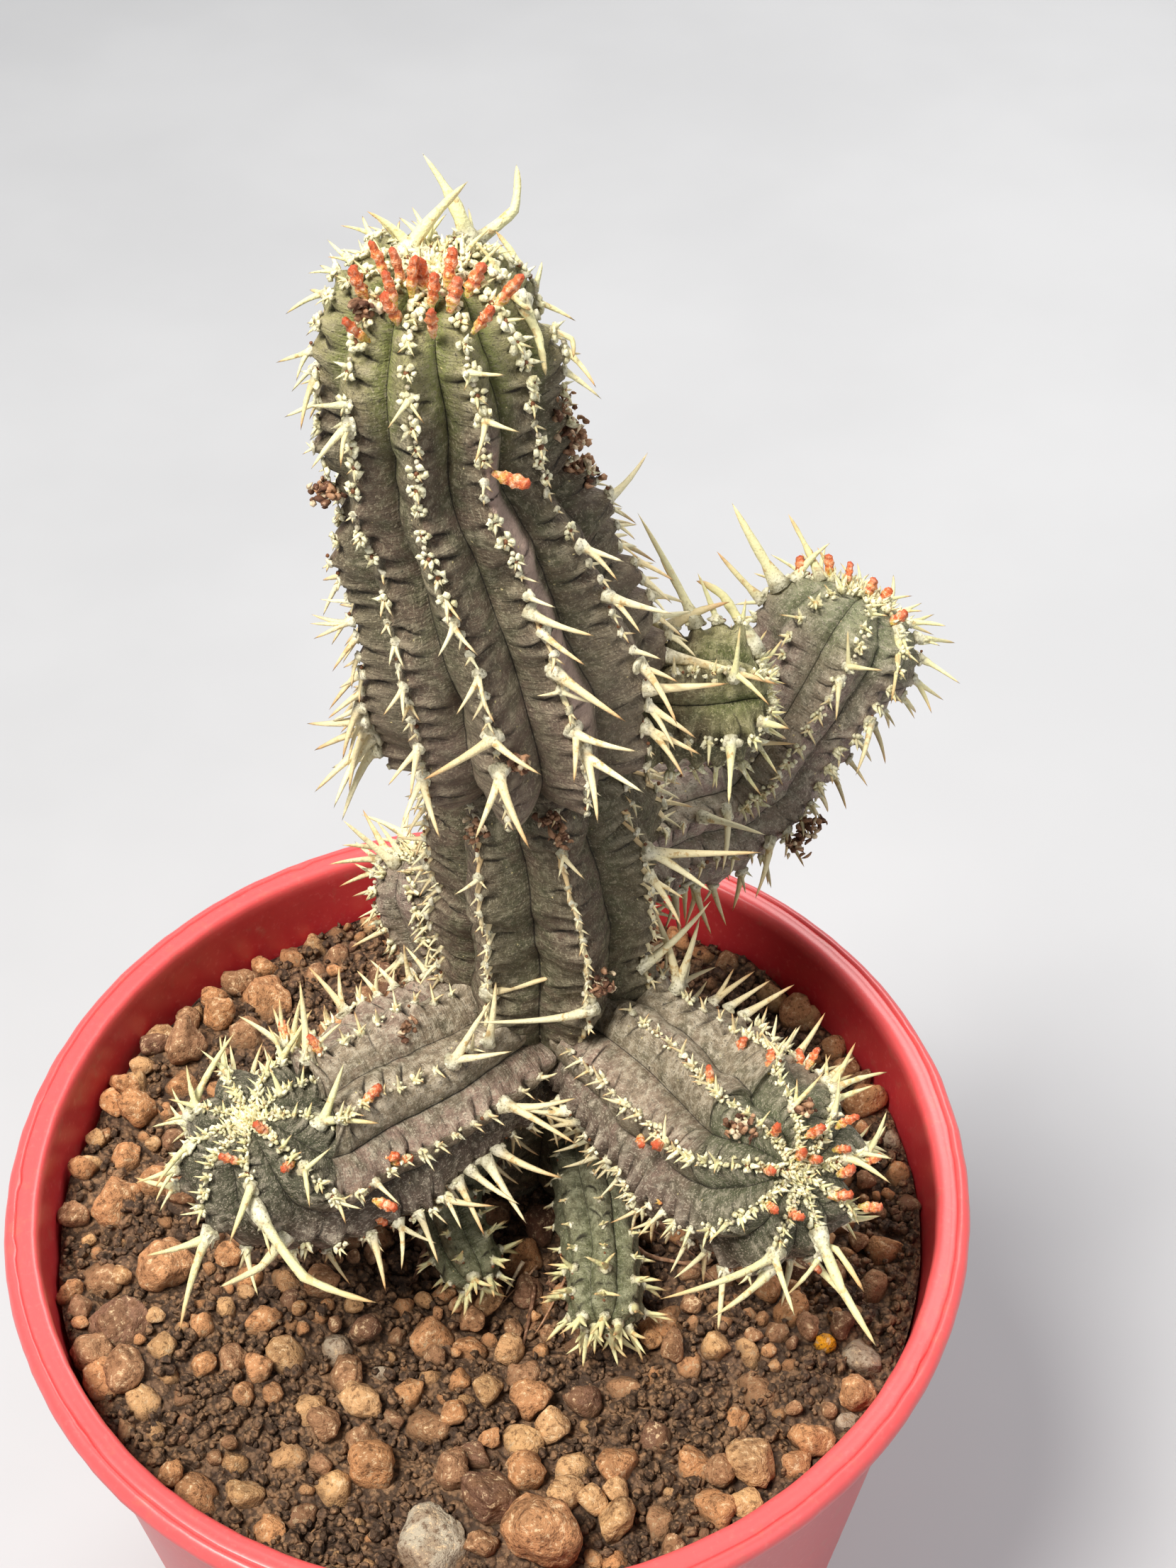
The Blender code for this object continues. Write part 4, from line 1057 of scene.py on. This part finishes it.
def stone_spots(rng):
    """Where stones may lie, as x, y, radius, kind and whether it is photographed. Small ones come last."""
    for x, y, radius, kind in STONES:
        way = place_near((x, y), np.zeros(3)) - CAMERA_PLACE
        spot = CAMERA_PLACE + way * (SOIL_TOP + 1 - CAMERA_PLACE[2]) / way[2]
        radius = 1.2 * radius * np.linalg.norm(spot - CAMERA_PLACE) / FOCAL
        spot = spot * min(1, (inner_radius(SOIL_TOP) - radius * 0.8 - 0.4) / np.hypot(spot[0], spot[1]))
        yield spot[0], spot[1], radius, kind, True
    for attempt in range(GRAVEL_TRIES):
        radius = (2.9 - 2.0 * (attempt / GRAVEL_TRIES) ** 0.4) * rng.uniform(0.7, 1.15)
        x, y = random_spot(inner_radius(SOIL_TOP) - radius * 0.9 - 0.8, rng)
        kind = GREY if rng.random() < GREY_SHARE else rng.uniform(0.3, 3.0)
        yield x, y, radius, kind, False


def make_gravel(stems, stone_material, crumb_material, rng):
    """Stones half sunk in the soil, then soil crumbs that fill the gaps."""
    stones = np.zeros((0, 4))
    batch, crumbs = Batch(), Batch()
    for x, y, radius, kind, seen in stone_spots(rng):
        ground = ground_at(x, y)
        height = settle(x, y, ground + radius * rng.uniform(-0.35, 0.1), radius, stones)
        if seen:
            height = ground + 0.5 * radius if kind == AMBER else min(height, ground + 0.25 * radius + 0.6)
        elif height > ground + 0.5 + 0.5 * radius:
            continue
        bare = y < -24 or ripple(np.array((x, y, 0.0)), 8, 12) < -0.2
        if not seen and bare and rng.random() < 0.9:
            continue
        place = np.array((x, y, height))
        if any(stem.holds(place, -radius * 0.8) for stem in stems.values()):
            continue
        stones = np.vstack((stones, (x, y, height, radius)))
        shape, faces = shaped_stone(4 if radius > 3.2 else 3 if radius > 1.4 else 2, rng)
        turned = place + shape @ turned_ways(rng) * radius
        low = turned[:, 2] - soil_height(turned[:, 0], turned[:, 1])
        batch.add(turned, NO_QUADS, faces, tone=rng.uniform(0, 1), shade=rng.uniform(0, 1), kind=kind,
                  low=low)
    for _ in range(CRUMB_TRIES):
        radius = 0.34 + 0.6 * rng.random() ** 2
        x, y = random_spot(inner_radius(SOIL_TOP) - radius - 0.5, rng)
        ground = ground_at(x, y)
        height = settle(x, y, ground + radius * rng.uniform(0.2, 0.9), radius, stones)
        if height > ground + 1.0:
            continue
        sizes = radius * rng.uniform(0.75, 1.2, 3)
        crumbs.add_ball(1, np.array((x, y, height)), sizes, turned_ways(rng), 0.3, int(rng.integers(1000)),
                        tone=rng.uniform(0, 1))
    batch.build("soil_gravel", stone_material, "soil")
    crumbs.build("soil_bits", crumb_material, "soil")


def make_roots(material, rng):
    """Dry roots and litter at the foot of the stem."""
    batch = Batch()
    t = np.linspace(0, 1, 9)[:, None]
    for _ in range(ROOT_COUNT):
        turn = rng.uniform(math.radians(160), math.radians(350))
        reach = rng.uniform(12, 17)
        start = np.array((5 + reach * math.cos(turn), 5 + reach * math.sin(turn), 0))
        start[2] = ground_at(start[0], start[1]) + rng.uniform(0.5, 2.5)
        bends = turn + rng.uniform(-1.3, 1.3), turn + rng.uniform(-1.3, 1.3)
        way = unit(np.array((math.cos(bends[0]), math.sin(bends[1]), 0)))
        length = rng.uniform(4, 12)
        line = start + way * t * length + np.array((0, 0, 1)) * np.sin(math.pi * t) * rng.uniform(-1.0, 1.2)
        line = line + unit(rng.normal(size=3)) * np.sin(2 * math.pi * t) * 0.08 * length
        floor = soil_height(line[:, 0], line[:, 1]) - 0.1
        line[:, 2] = np.maximum(line[:, 2] - t[:, 0] * 1.5, floor)
        radii = rng.uniform(0.15, 0.42) * (1 - 0.7 * t[:, 0])
        tube(batch, line, radii, 6, tone=rng.uniform(0, 1))
    batch.build("soil_roots", material, "soil")


def cut_drains(pot):
    """Cut the drainage holes out of the pot's mesh."""
    bm = bmesh.new()
    for index in range(DRAIN_COUNT):
        turn = TURN * (index + 0.5) / DRAIN_COUNT
        made = bmesh.ops.create_cone(bm, cap_ends=True, segments=32, radius1=DRAIN_RADIUS * MM,
                                     radius2=DRAIN_RADIUS * MM, depth=20 * MM)
        shift = (DRAIN_CIRCLE * math.cos(turn) * MM, DRAIN_CIRCLE * math.sin(turn) * MM, 0)
        bmesh.ops.translate(bm, verts=made["verts"], vec=shift)
    cutter = add_object("drains", mesh_of("drains", bm))
    boolean = pot.modifiers.new("drains", "BOOLEAN")
    boolean.object, boolean.operation = cutter, "DIFFERENCE"
    bpy.context.view_layer.update()
    graph = bpy.context.evaluated_depsgraph_get()
    cut = bpy.data.meshes.new_from_object(pot.evaluated_get(graph))
    pot.modifiers.clear()
    pot.data = cut
    bpy.data.objects.remove(cutter, do_unlink=True)


def make_pot(material):
    """The pot: a grooved lip, a tapering wall, and a raised channel with drainage holes underneath."""
    lip_inner, foot = RIM_RADIUS - LIP_WIDTH, wall_radius(0)
    profile = [(inner_radius(0) - CORNER_WIDTH, FLOOR_TOP), (inner_radius(2 + FLOOR_TOP / 2) - 0.3, 4.2)]
    profile += [(inner_radius(height), height) for height in np.linspace(CORNER_TOP + 0.6, WALL_TOP, 12)]
    profile += [(lip_inner + width, height) for width, height in LIP_TOP]
    profile += [*LIP_SIDE, (WALL_TOP_RADIUS, 90.7)]
    profile += [(wall_radius(height), height) for height in np.linspace(89.5, 1.6, 14)]
    profile += [(foot, 0.8), (foot - 0.25, 0.25), (foot - 0.8, 0), (foot - 3, 0), (CHANNEL_OUTER + 0.1, 0),
                (CHANNEL_OUTER - 0.3, 0.25), (CHANNEL_OUTER - 1, FOOT_RISE), (CHANNEL_INNER + 1, FOOT_RISE),
                (CHANNEL_INNER + 0.3, 0.25), (CHANNEL_INNER - 0.1, 0)]
    profile = np.array(profile)
    turns = even_turns(POT_COLUMNS)
    rings = np.stack((profile[:, :1] * np.cos(turns), profile[:, :1] * np.sin(turns),
                      np.repeat(profile[:, 1:], POT_COLUMNS, axis=1)), -1)
    outward = np.stack((np.cos(turns), np.sin(turns), 0 * turns), -1)
    lip = smooth_step(91, 94, profile[:, 1])[:, None]
    worn = (0.06 * ripple(rings, 14, 21) + 0.04 * ripple(rings, 1.6, 22)) * lip
    nick = np.maximum(0, ripple(rings, 2.0, 23) - 0.75) * lip * bell(profile[:, :1] - 53.7, 0.5)
    rings = rings + outward * (worn - 0.3 * nick - 0.04 * lip)[..., None]
    rings[..., 2] -= 0.04 + 0.02 * lip + 0.45 * nick
    rings[..., 2] = np.maximum(rings[..., 2], 0)
    batch = Batch()
    batch.add_rings(rings[::-1], (0, 0, 0), (0, 0, FLOOR_TOP))
    pot = batch.build("pot_body", material, "pot", ("pot",))
    cut_drains(pot)
    pot.data.set_sharp_from_angle(angle=math.radians(40))


# Materials

class Nodes:
    """A short way to write a material's nodes. A colour is a socket, or a screen colour from 0 to 255."""

    def __init__(self, name, colour, **sockets):
        self.material = bpy.data.materials.new(name)
        self.material.use_nodes = True
        self.tree = self.material.node_tree
        self.shader = self.tree.nodes["Principled BSDF"]
        self.colour = colour
        for label, value in sockets.items():
            self.shader.inputs[label.replace("_", " ")].default_value = value

    def add(self, kind, output=0, settings=None, **inputs):
        """Add a node, set or link its inputs, and return one of its outputs."""
        node = self.tree.nodes.new(kind)
        for label, value in (settings or {}).items():
            setattr(node, label, value)
        for label, value in inputs.items():
            key = int(label[1:]) if label[1:].isdigit() else label.replace("_", " ")
            self.put(node.inputs[key], value)
        return node.outputs[output]

    def put(self, socket, value):
        """Link a socket to another, or set its value."""
        if isinstance(value, bpy.types.NodeSocket):
            self.tree.links.new(value, socket)
        else:
            socket.default_value = value

    def attribute(self, label, output="Fac"):
        """A named number of the mesh."""
        return self.add("ShaderNodeAttribute", output, dict(attribute_name=label))

    def place(self):
        """The place on the object, in metres."""
        return self.add("ShaderNodeTexCoord", "Object")

    def scaled(self, vector, scale):
        """A vector multiplied along each axis."""
        return self.add("ShaderNodeVectorMath", 0, dict(operation="MULTIPLY"), _0=vector, _1=scale)

    def noise(self, vector, scale, detail=3.0, roughness=0.55):
        """Noise between 0 and 1."""
        return self.add("ShaderNodeTexNoise", Vector=vector, Scale=scale, Detail=detail, Roughness=roughness)

    def cells(self, vector, scale):
        """The distance to the nearest of many scattered points."""
        return self.add("ShaderNodeTexVoronoi", Vector=vector, Scale=scale)

    def between(self, value, low, high):
        """0 below low, 1 above high and smooth between."""
        return self.add("ShaderNodeMapRange", 0, dict(interpolation_type="SMOOTHSTEP"), Value=value,
                        From_Min=low, From_Max=high)

    def scale_to(self, value, low, high):
        """A number from 0 to 1 stretched between two others."""
        return self.add("ShaderNodeMapRange", Value=value, To_Min=low, To_Max=high)

    def sum(self, operation, first, second=0.0):
        """A sum of two numbers. A product is kept between 0 and 1."""
        return self.add("ShaderNodeMath", 0, dict(operation=operation, use_clamp=operation == "MULTIPLY"),
                        _0=first, _1=second)

    def nearness(self, value):
        """How far a number is from the nearest whole number."""
        return self.sum("PINGPONG", value, 0.5)

    def share(self, *masks):
        """The product of masks. A mask is a socket, a number, or (value, low, high) for a smooth step."""
        masks = [self.between(*mask) if isinstance(mask, tuple) else mask for mask in masks]
        return functools.reduce(lambda first, second: self.sum("MULTIPLY", first, second), masks)

    def mix(self, share, first, second):
        """Two colours mixed by a share."""
        first, second = (srgb(*colour) if isinstance(colour, tuple) else colour for colour in (first, second))
        return self.add("ShaderNodeMix", 2, dict(data_type="RGBA"), _0=share, _6=first, _7=second)

    def paint(self, colour, *masks):
        """Lay a colour over the last one, where all the masks are high."""
        self.colour = self.mix(self.share(*masks), self.colour, colour)

    def bump(self, height, strength, distance, normal=None):
        """A bump from a height; the distance is in millimetres."""
        inputs = {} if normal is None else dict(Normal=normal)
        return self.add("ShaderNodeBump", Height=height, Strength=strength, Distance=distance * MM, **inputs)

    def finish(self, roughness, normal):
        """Link the shader and return the material."""
        for label, value in (("Base Color", self.colour), ("Roughness", roughness), ("Normal", normal)):
            self.put(self.shader.inputs[label], value)
        return self.material


def skin_material(name, flesh, flush, green, fresh, tip, pale, underside_shade):
    """Speckled stem skin, greener in the valleys and where it is young, with painted shade and painted light.
    """
    n = Nodes(name, flesh, Specular_IOR_Level=0.3)
    unrolled = n.attribute("unrolled", "Vector")
    ridge, young, fold, sky = (n.attribute(label) for label in ("ridge", "young", "fold", "sky"))
    broad, middle = n.noise(unrolled, 0.15, 3), n.noise(unrolled, 0.65, 4)
    mottle, grain = n.noise(unrolled, 1.3, 3, 0.65), n.noise(unrolled, 2.6, 4, 0.75)
    fuzz = n.noise(n.scaled(unrolled, (1, 1, 0.55)), 5, 3, 0.8)
    wrinkles = n.noise(n.scaled(unrolled, (0.4, 0.4, 2.4)), 1.2, 4, 0.6)
    turns = n.sum("ADD", n.attribute("turns"), n.scale_to(grain, -0.07, 0.07))
    crease = n.share((n.nearness(turns), 0.075, 0.02), fold)
    n.paint(flush, (n.sum("ADD", n.share(broad, 0.6), n.share(n.attribute("flank"), 0.4)), 0.36, 0.64))
    n.paint(green, (ridge, 0.85, 0.3), (middle, 0.36, 0.62), 0.7)
    n.paint(tip, (young, 0.35, 0.9), 0.8)
    n.paint(fresh, young, 0.8, (ridge, 0.6, 0.05))
    # Painted shade: skin that faces down is darkened
    n.paint((56, 51, 42), (sky, 0.5, -0.15), underside_shade)
    # Painted light mixed with real pale scuffs: pale mottles on skin that faces up
    n.paint(pale, (sky, 0.3, 0.8), (mottle, 0.46, 0.58), 0.28)
    # Painted highlight: the middle of each bulge between folds is paler
    n.paint(pale, (n.nearness(turns), 0.25, 0.45), fold, 0.35)
    n.paint(pale, (middle, 0.56, 0.72), 0.3)
    n.paint(pale, (mottle, 0.52, 0.62), 0.25)
    n.paint((52, 44, 32), (mottle, 0.48, 0.38), 0.35)
    n.paint(pale, (fuzz, 0.53, 0.64), 0.55)
    n.paint((40, 33, 24), (grain, 0.53, 0.68), 0.75)
    n.paint((214, 184, 168), n.attribute("bare"), n.scale_to(grain, 0.5, 1.0))
    n.paint((226, 208, 150), (n.cells(unrolled, 0.9), 0.1, 0.07), (middle, 0.5, 0.6))
    # Painted shade: a dark band just above each fold, on the underside of the bulge
    n.paint((40, 34, 24), (n.sum("FRACT", turns), 0.3, 0.02), fold, 0.5)
    # Painted shade: the valleys between ribs are darkened
    n.paint((50, 42, 30), (ridge, 0.15, 0.02), 0.2)
    # Painted shade: dark lines in the fold creases and along the valley floors
    n.paint((34, 27, 20), n.sum("MAXIMUM", n.share(crease, 0.85), n.share((ridge, 0.032, 0.008), 0.75)))
    # Painted shade: the notch below each areole is nearly black
    n.paint((18, 14, 10), n.attribute("pit"))
    normal = n.bump(wrinkles, 1.0, 0.42)
    normal = n.bump(n.sum("SUBTRACT", 1.0, crease), 0.7, 0.16, normal)
    normal = n.bump(fuzz, 0.6, 0.08, n.bump(grain, 1.0, 0.26, normal))
    return n.finish(n.scale_to(middle, 0.5, 0.75), normal)


def spine_material():
    """Spines: chalky feet and shields, cream middles and tan tips."""
    n = Nodes("spine", (238, 228, 186), Specular_IOR_Level=0.4)
    place, share, tone, pad = n.place(), n.attribute("share"), n.attribute("tone"), n.attribute("pad")
    fine, broad = n.noise(place, 3600, 3, 0.7), n.noise(place, 900, 3, 0.6)
    n.paint((226, 206, 158), tone)
    n.paint((222, 222, 160), n.attribute("green"), 0.6)
    n.paint(n.mix(tone, (222, 188, 128), (200, 150, 96)), (share, 0.6, 1.0), (tone, -0.4, 0.9))
    n.paint((204, 172, 116), (broad, 0.56, 0.66), (share, 0.9, 0.4))
    n.paint(n.mix(n.share((broad, 0.4, 0.6)), (228, 222, 198), (182, 176, 148)), (share, 0.3, 0.06), 0.85)
    n.paint((92, 80, 58), (fine, 0.54, 0.66), (share, 0.5, 0.0), 0.7)
    crust = n.mix(n.share((broad, 0.42, 0.64)), (246, 240, 204), (206, 198, 154))
    n.paint(n.mix(n.share((fine, 0.52, 0.64), 0.6), crust, (140, 126, 84)), (pad, 0.8, 0.95))
    n.paint((118, 74, 44), (pad, -0.1, -0.5))
    normal = n.bump(fine, 0.7, 0.1, n.bump(broad, 0.6, 0.25))
    return n.finish(n.scale_to(broad, 0.38, 0.62), normal)


def head_material():
    """Flower heads: yellow-green feet and grainy orange-red bodies, with painted highlights and painted shade
    in the waists.
    """
    n = Nodes("flower_head", (204, 190, 92), Specular_IOR_Level=0.35, Subsurface_Weight=0.1,
              Subsurface_Scale=0.0004)
    place, rise = n.place(), n.attribute("rise")
    fine = n.noise(place, 2400, 3, 0.7)
    n.paint((228, 158, 84), (rise, 0.14, 0.5))
    n.paint(n.mix(n.attribute("tone"), (240, 124, 70), (240, 154, 90)), (rise, 0.34, 0.66))
    n.paint((236, 162, 118), (n.noise(place, 1100, 2, 0.6), 0.48, 0.58), 0.85)
    # Painted highlights: pale peach flecks over the grainy body
    n.paint((252, 208, 176), (fine, 0.5, 0.6), 0.8)
    n.paint((176, 72, 34), (fine, 0.47, 0.37), 0.7)
    # Painted shade: the narrow waists of a head are darker
    n.paint((190, 84, 48), n.attribute("dark"), (rise, 0.3, 0.5))
    return n.finish(n.scale_to(fine, 0.4, 0.65), n.bump(fine, 1.0, 0.24))


def dried_material():
    """Dried flower remains and litter: brown with pale edges."""
    n = Nodes("dried", (98, 66, 50), Specular_IOR_Level=0.2)
    tone, fine = n.attribute("tone"), n.noise(n.place(), 1800, 3, 0.6)
    n.paint((172, 130, 98), (tone, 0.1, 0.8))
    n.paint((226, 204, 170), (tone, 0.76, 0.86))
    n.paint((50, 34, 26), (fine, 0.5, 0.66), 0.6)
    n.paint((200, 164, 134), (fine, 0.44, 0.34), 0.6)
    return n.finish(n.scale_to(fine, 0.6, 0.9), n.bump(fine, 0.6, 0.12))


def stone_material():
    """Gravel: grainy fired clay from sandy yellow to dark brown, with a few grey stones, dusted with soil."""
    n = Nodes("gravel", (216, 170, 118), Specular_IOR_Level=0.2)
    place, kind = n.place(), n.attribute("kind")
    broad, grain = n.noise(place, 300, 3), n.noise(place, 1300, 4, 0.75)
    n.paint((212, 152, 102), (kind, 0.2, 1.0))
    n.paint((172, 128, 92), (kind, 1.2, 2.0))
    n.paint((124, 90, 72), (kind, 2.2, 3.0))
    n.paint((190, 178, 156), (kind, 3.3, 3.7))
    n.paint((252, 172, 30), (kind, 4.3, 4.7))
    n.paint((182, 138, 108), n.attribute("tone"), 0.25)
    n.paint((110, 80, 56), n.attribute("shade"), 0.2)
    n.paint((134, 98, 68), (broad, 0.46, 0.62), 0.5)
    n.paint((98, 68, 46), (grain, 0.52, 0.64), 0.75)
    n.paint((244, 212, 168), (grain, 0.46, 0.34), 0.75)
    n.paint((110, 82, 58), (n.sum("ADD", n.attribute("low"), n.scale_to(grain, -1.8, 1.8)), 1.3, -0.2), 0.8)
    return n.finish(n.scale_to(broad, 0.8, 0.98), n.bump(grain, 1.0, 0.5, n.bump(broad, 0.8, 1.0)))


def crumb_material(name):
    """Dark brown crumbly soil, with painted light on the crumbs and painted shade between them."""
    n = Nodes(name, (132, 100, 72), Specular_IOR_Level=0.35)
    place = n.place()
    broad, fine = n.noise(place, 140, 3), n.noise(place, 1400, 4, 0.75)
    crumbs = n.sum("ADD", n.share(n.cells(place, 1500), 0.5), n.share(n.cells(place, 720), 0.6))
    n.paint((106, 80, 60), (broad, 0.38, 0.62))
    n.paint((160, 122, 88), (n.attribute("tone"), 0.5, 1.0), 0.6)
    # Painted light on the middle of each crumb, and painted shade in the gaps between crumbs
    n.paint((172, 134, 98), (crumbs, 0.36, 0.16), 0.6)
    n.paint((50, 36, 26), (crumbs, 0.46, 0.66), 0.8)
    n.paint((176, 140, 104), (fine, 0.55, 0.68), 0.6)
    n.paint((56, 41, 30), (fine, 0.46, 0.34), 0.65)
    normal = n.bump(fine, 1.0, 0.25, n.bump(n.sum("SUBTRACT", 1.0, crumbs), 1.0, 0.8))
    return n.finish(n.scale_to(fine, 0.5, 0.95), normal)


def pot_material():
    """Moulded red plastic, a little dusty and scuffed, with a painted reflection that makes the top of the
    lip lighter.
    """
    n = Nodes("pot_plastic", (190, 46, 52), Specular_IOR_Level=0.5, Subsurface_Weight=0.12,
              Subsurface_Scale=0.003, Coat_Weight=0.15, Coat_Roughness=0.3)
    place = n.place()
    broad, fine = n.noise(place, 45, 3), n.noise(place, 1400, 3, 0.6)
    n.paint((200, 58, 62), (broad, 0.35, 0.7))
    # Painted reflection: the top of the lip, from 92.5 to 94.5 mm up, is a lighter pink
    n.paint((236, 96, 96), (n.add("ShaderNodeSeparateXYZ", 2, Vector=place), 0.0925, 0.0945), 0.8)
    n.paint((230, 124, 120), (fine, 0.55, 0.75), 0.3)
    n.paint((176, 112, 92), (n.noise(place, 320, 5, 0.7), 0.55, 0.7), 0.3)
    return n.finish(n.scale_to(broad, 0.3, 0.42), n.bump(fine, 0.3, 0.06, n.bump(broad, 0.2, 0.4)))


def floor_material():
    """A plain pale studio floor."""
    n = Nodes("studio_floor", (180, 181, 184))
    cloud = n.noise(n.place(), 9, 4)
    n.paint((186, 187, 190), (cloud, 0.3, 0.7))
    return n.finish(n.scale_to(cloud, 0.55, 0.65), n.bump(cloud, 0.05, 0.5))


# The studio

def make_studio():
    """The floor, the lights, the world and the camera."""
    bm = bmesh.new()
    bmesh.ops.create_circle(bm, cap_ends=True, segments=96, radius=3)
    floor = add_object("studio_floor", mesh_of("studio_floor", bm))
    floor.data.materials.append(floor_material())
    for name, (place, size, power, colour) in LIGHTS.items():
        light = bpy.data.lights.new(name, "AREA")
        light.shape, light.size, light.energy, light.color = "DISK", size, power, colour
        thing = add_object(name, light)
        thing.location = place
        thing.rotation_euler = (Vector(LIGHT_TARGET) - Vector(place)).to_track_quat("-Z", "Y").to_euler()
    world = bpy.data.worlds.new("studio")
    world.use_nodes = True
    background = world.node_tree.nodes["Background"].inputs
    background["Color"].default_value, background["Strength"].default_value = WORLD_COLOUR, WORLD_STRENGTH
    bpy.context.scene.world = world
    bpy.context.scene.view_settings.view_transform = "Standard"
    camera = add_object("camera", bpy.data.cameras.new("camera"))
    camera.location = CAMERA_PLACE * MM
    camera.rotation_euler = (math.radians(90 - CAMERA_PITCH), 0, -math.radians(CAMERA_YAW))
    camera.data.sensor_width = SENSOR
    camera.data.lens = FOCAL * SENSOR / PHOTO_HEIGHT
    camera.data.clip_start = 0.01
    bpy.context.scene.camera = camera


def dress():
    """Make every piece of the looks."""
    rng = np.random.default_rng(SEED)
    materials = {name: skin_material(name, *colours) for name, colours in SKIN_COLOURS.items()}
    materials.update(spine=spine_material(), head=head_material(), dried=dried_material())
    make_pot(pot_material())
    make_soil(crumb_material("soil_crumb"))
    stems = {name: Stem(name) for name in STEMS}
    for name, stem_names in PIECES.items():
        clothe(name, stem_names, stems, materials, rng)
    make_gravel(stems, stone_material(), crumb_material("soil_bits"), rng)
    make_roots(dried_material(), rng)
    make_studio()


dress()
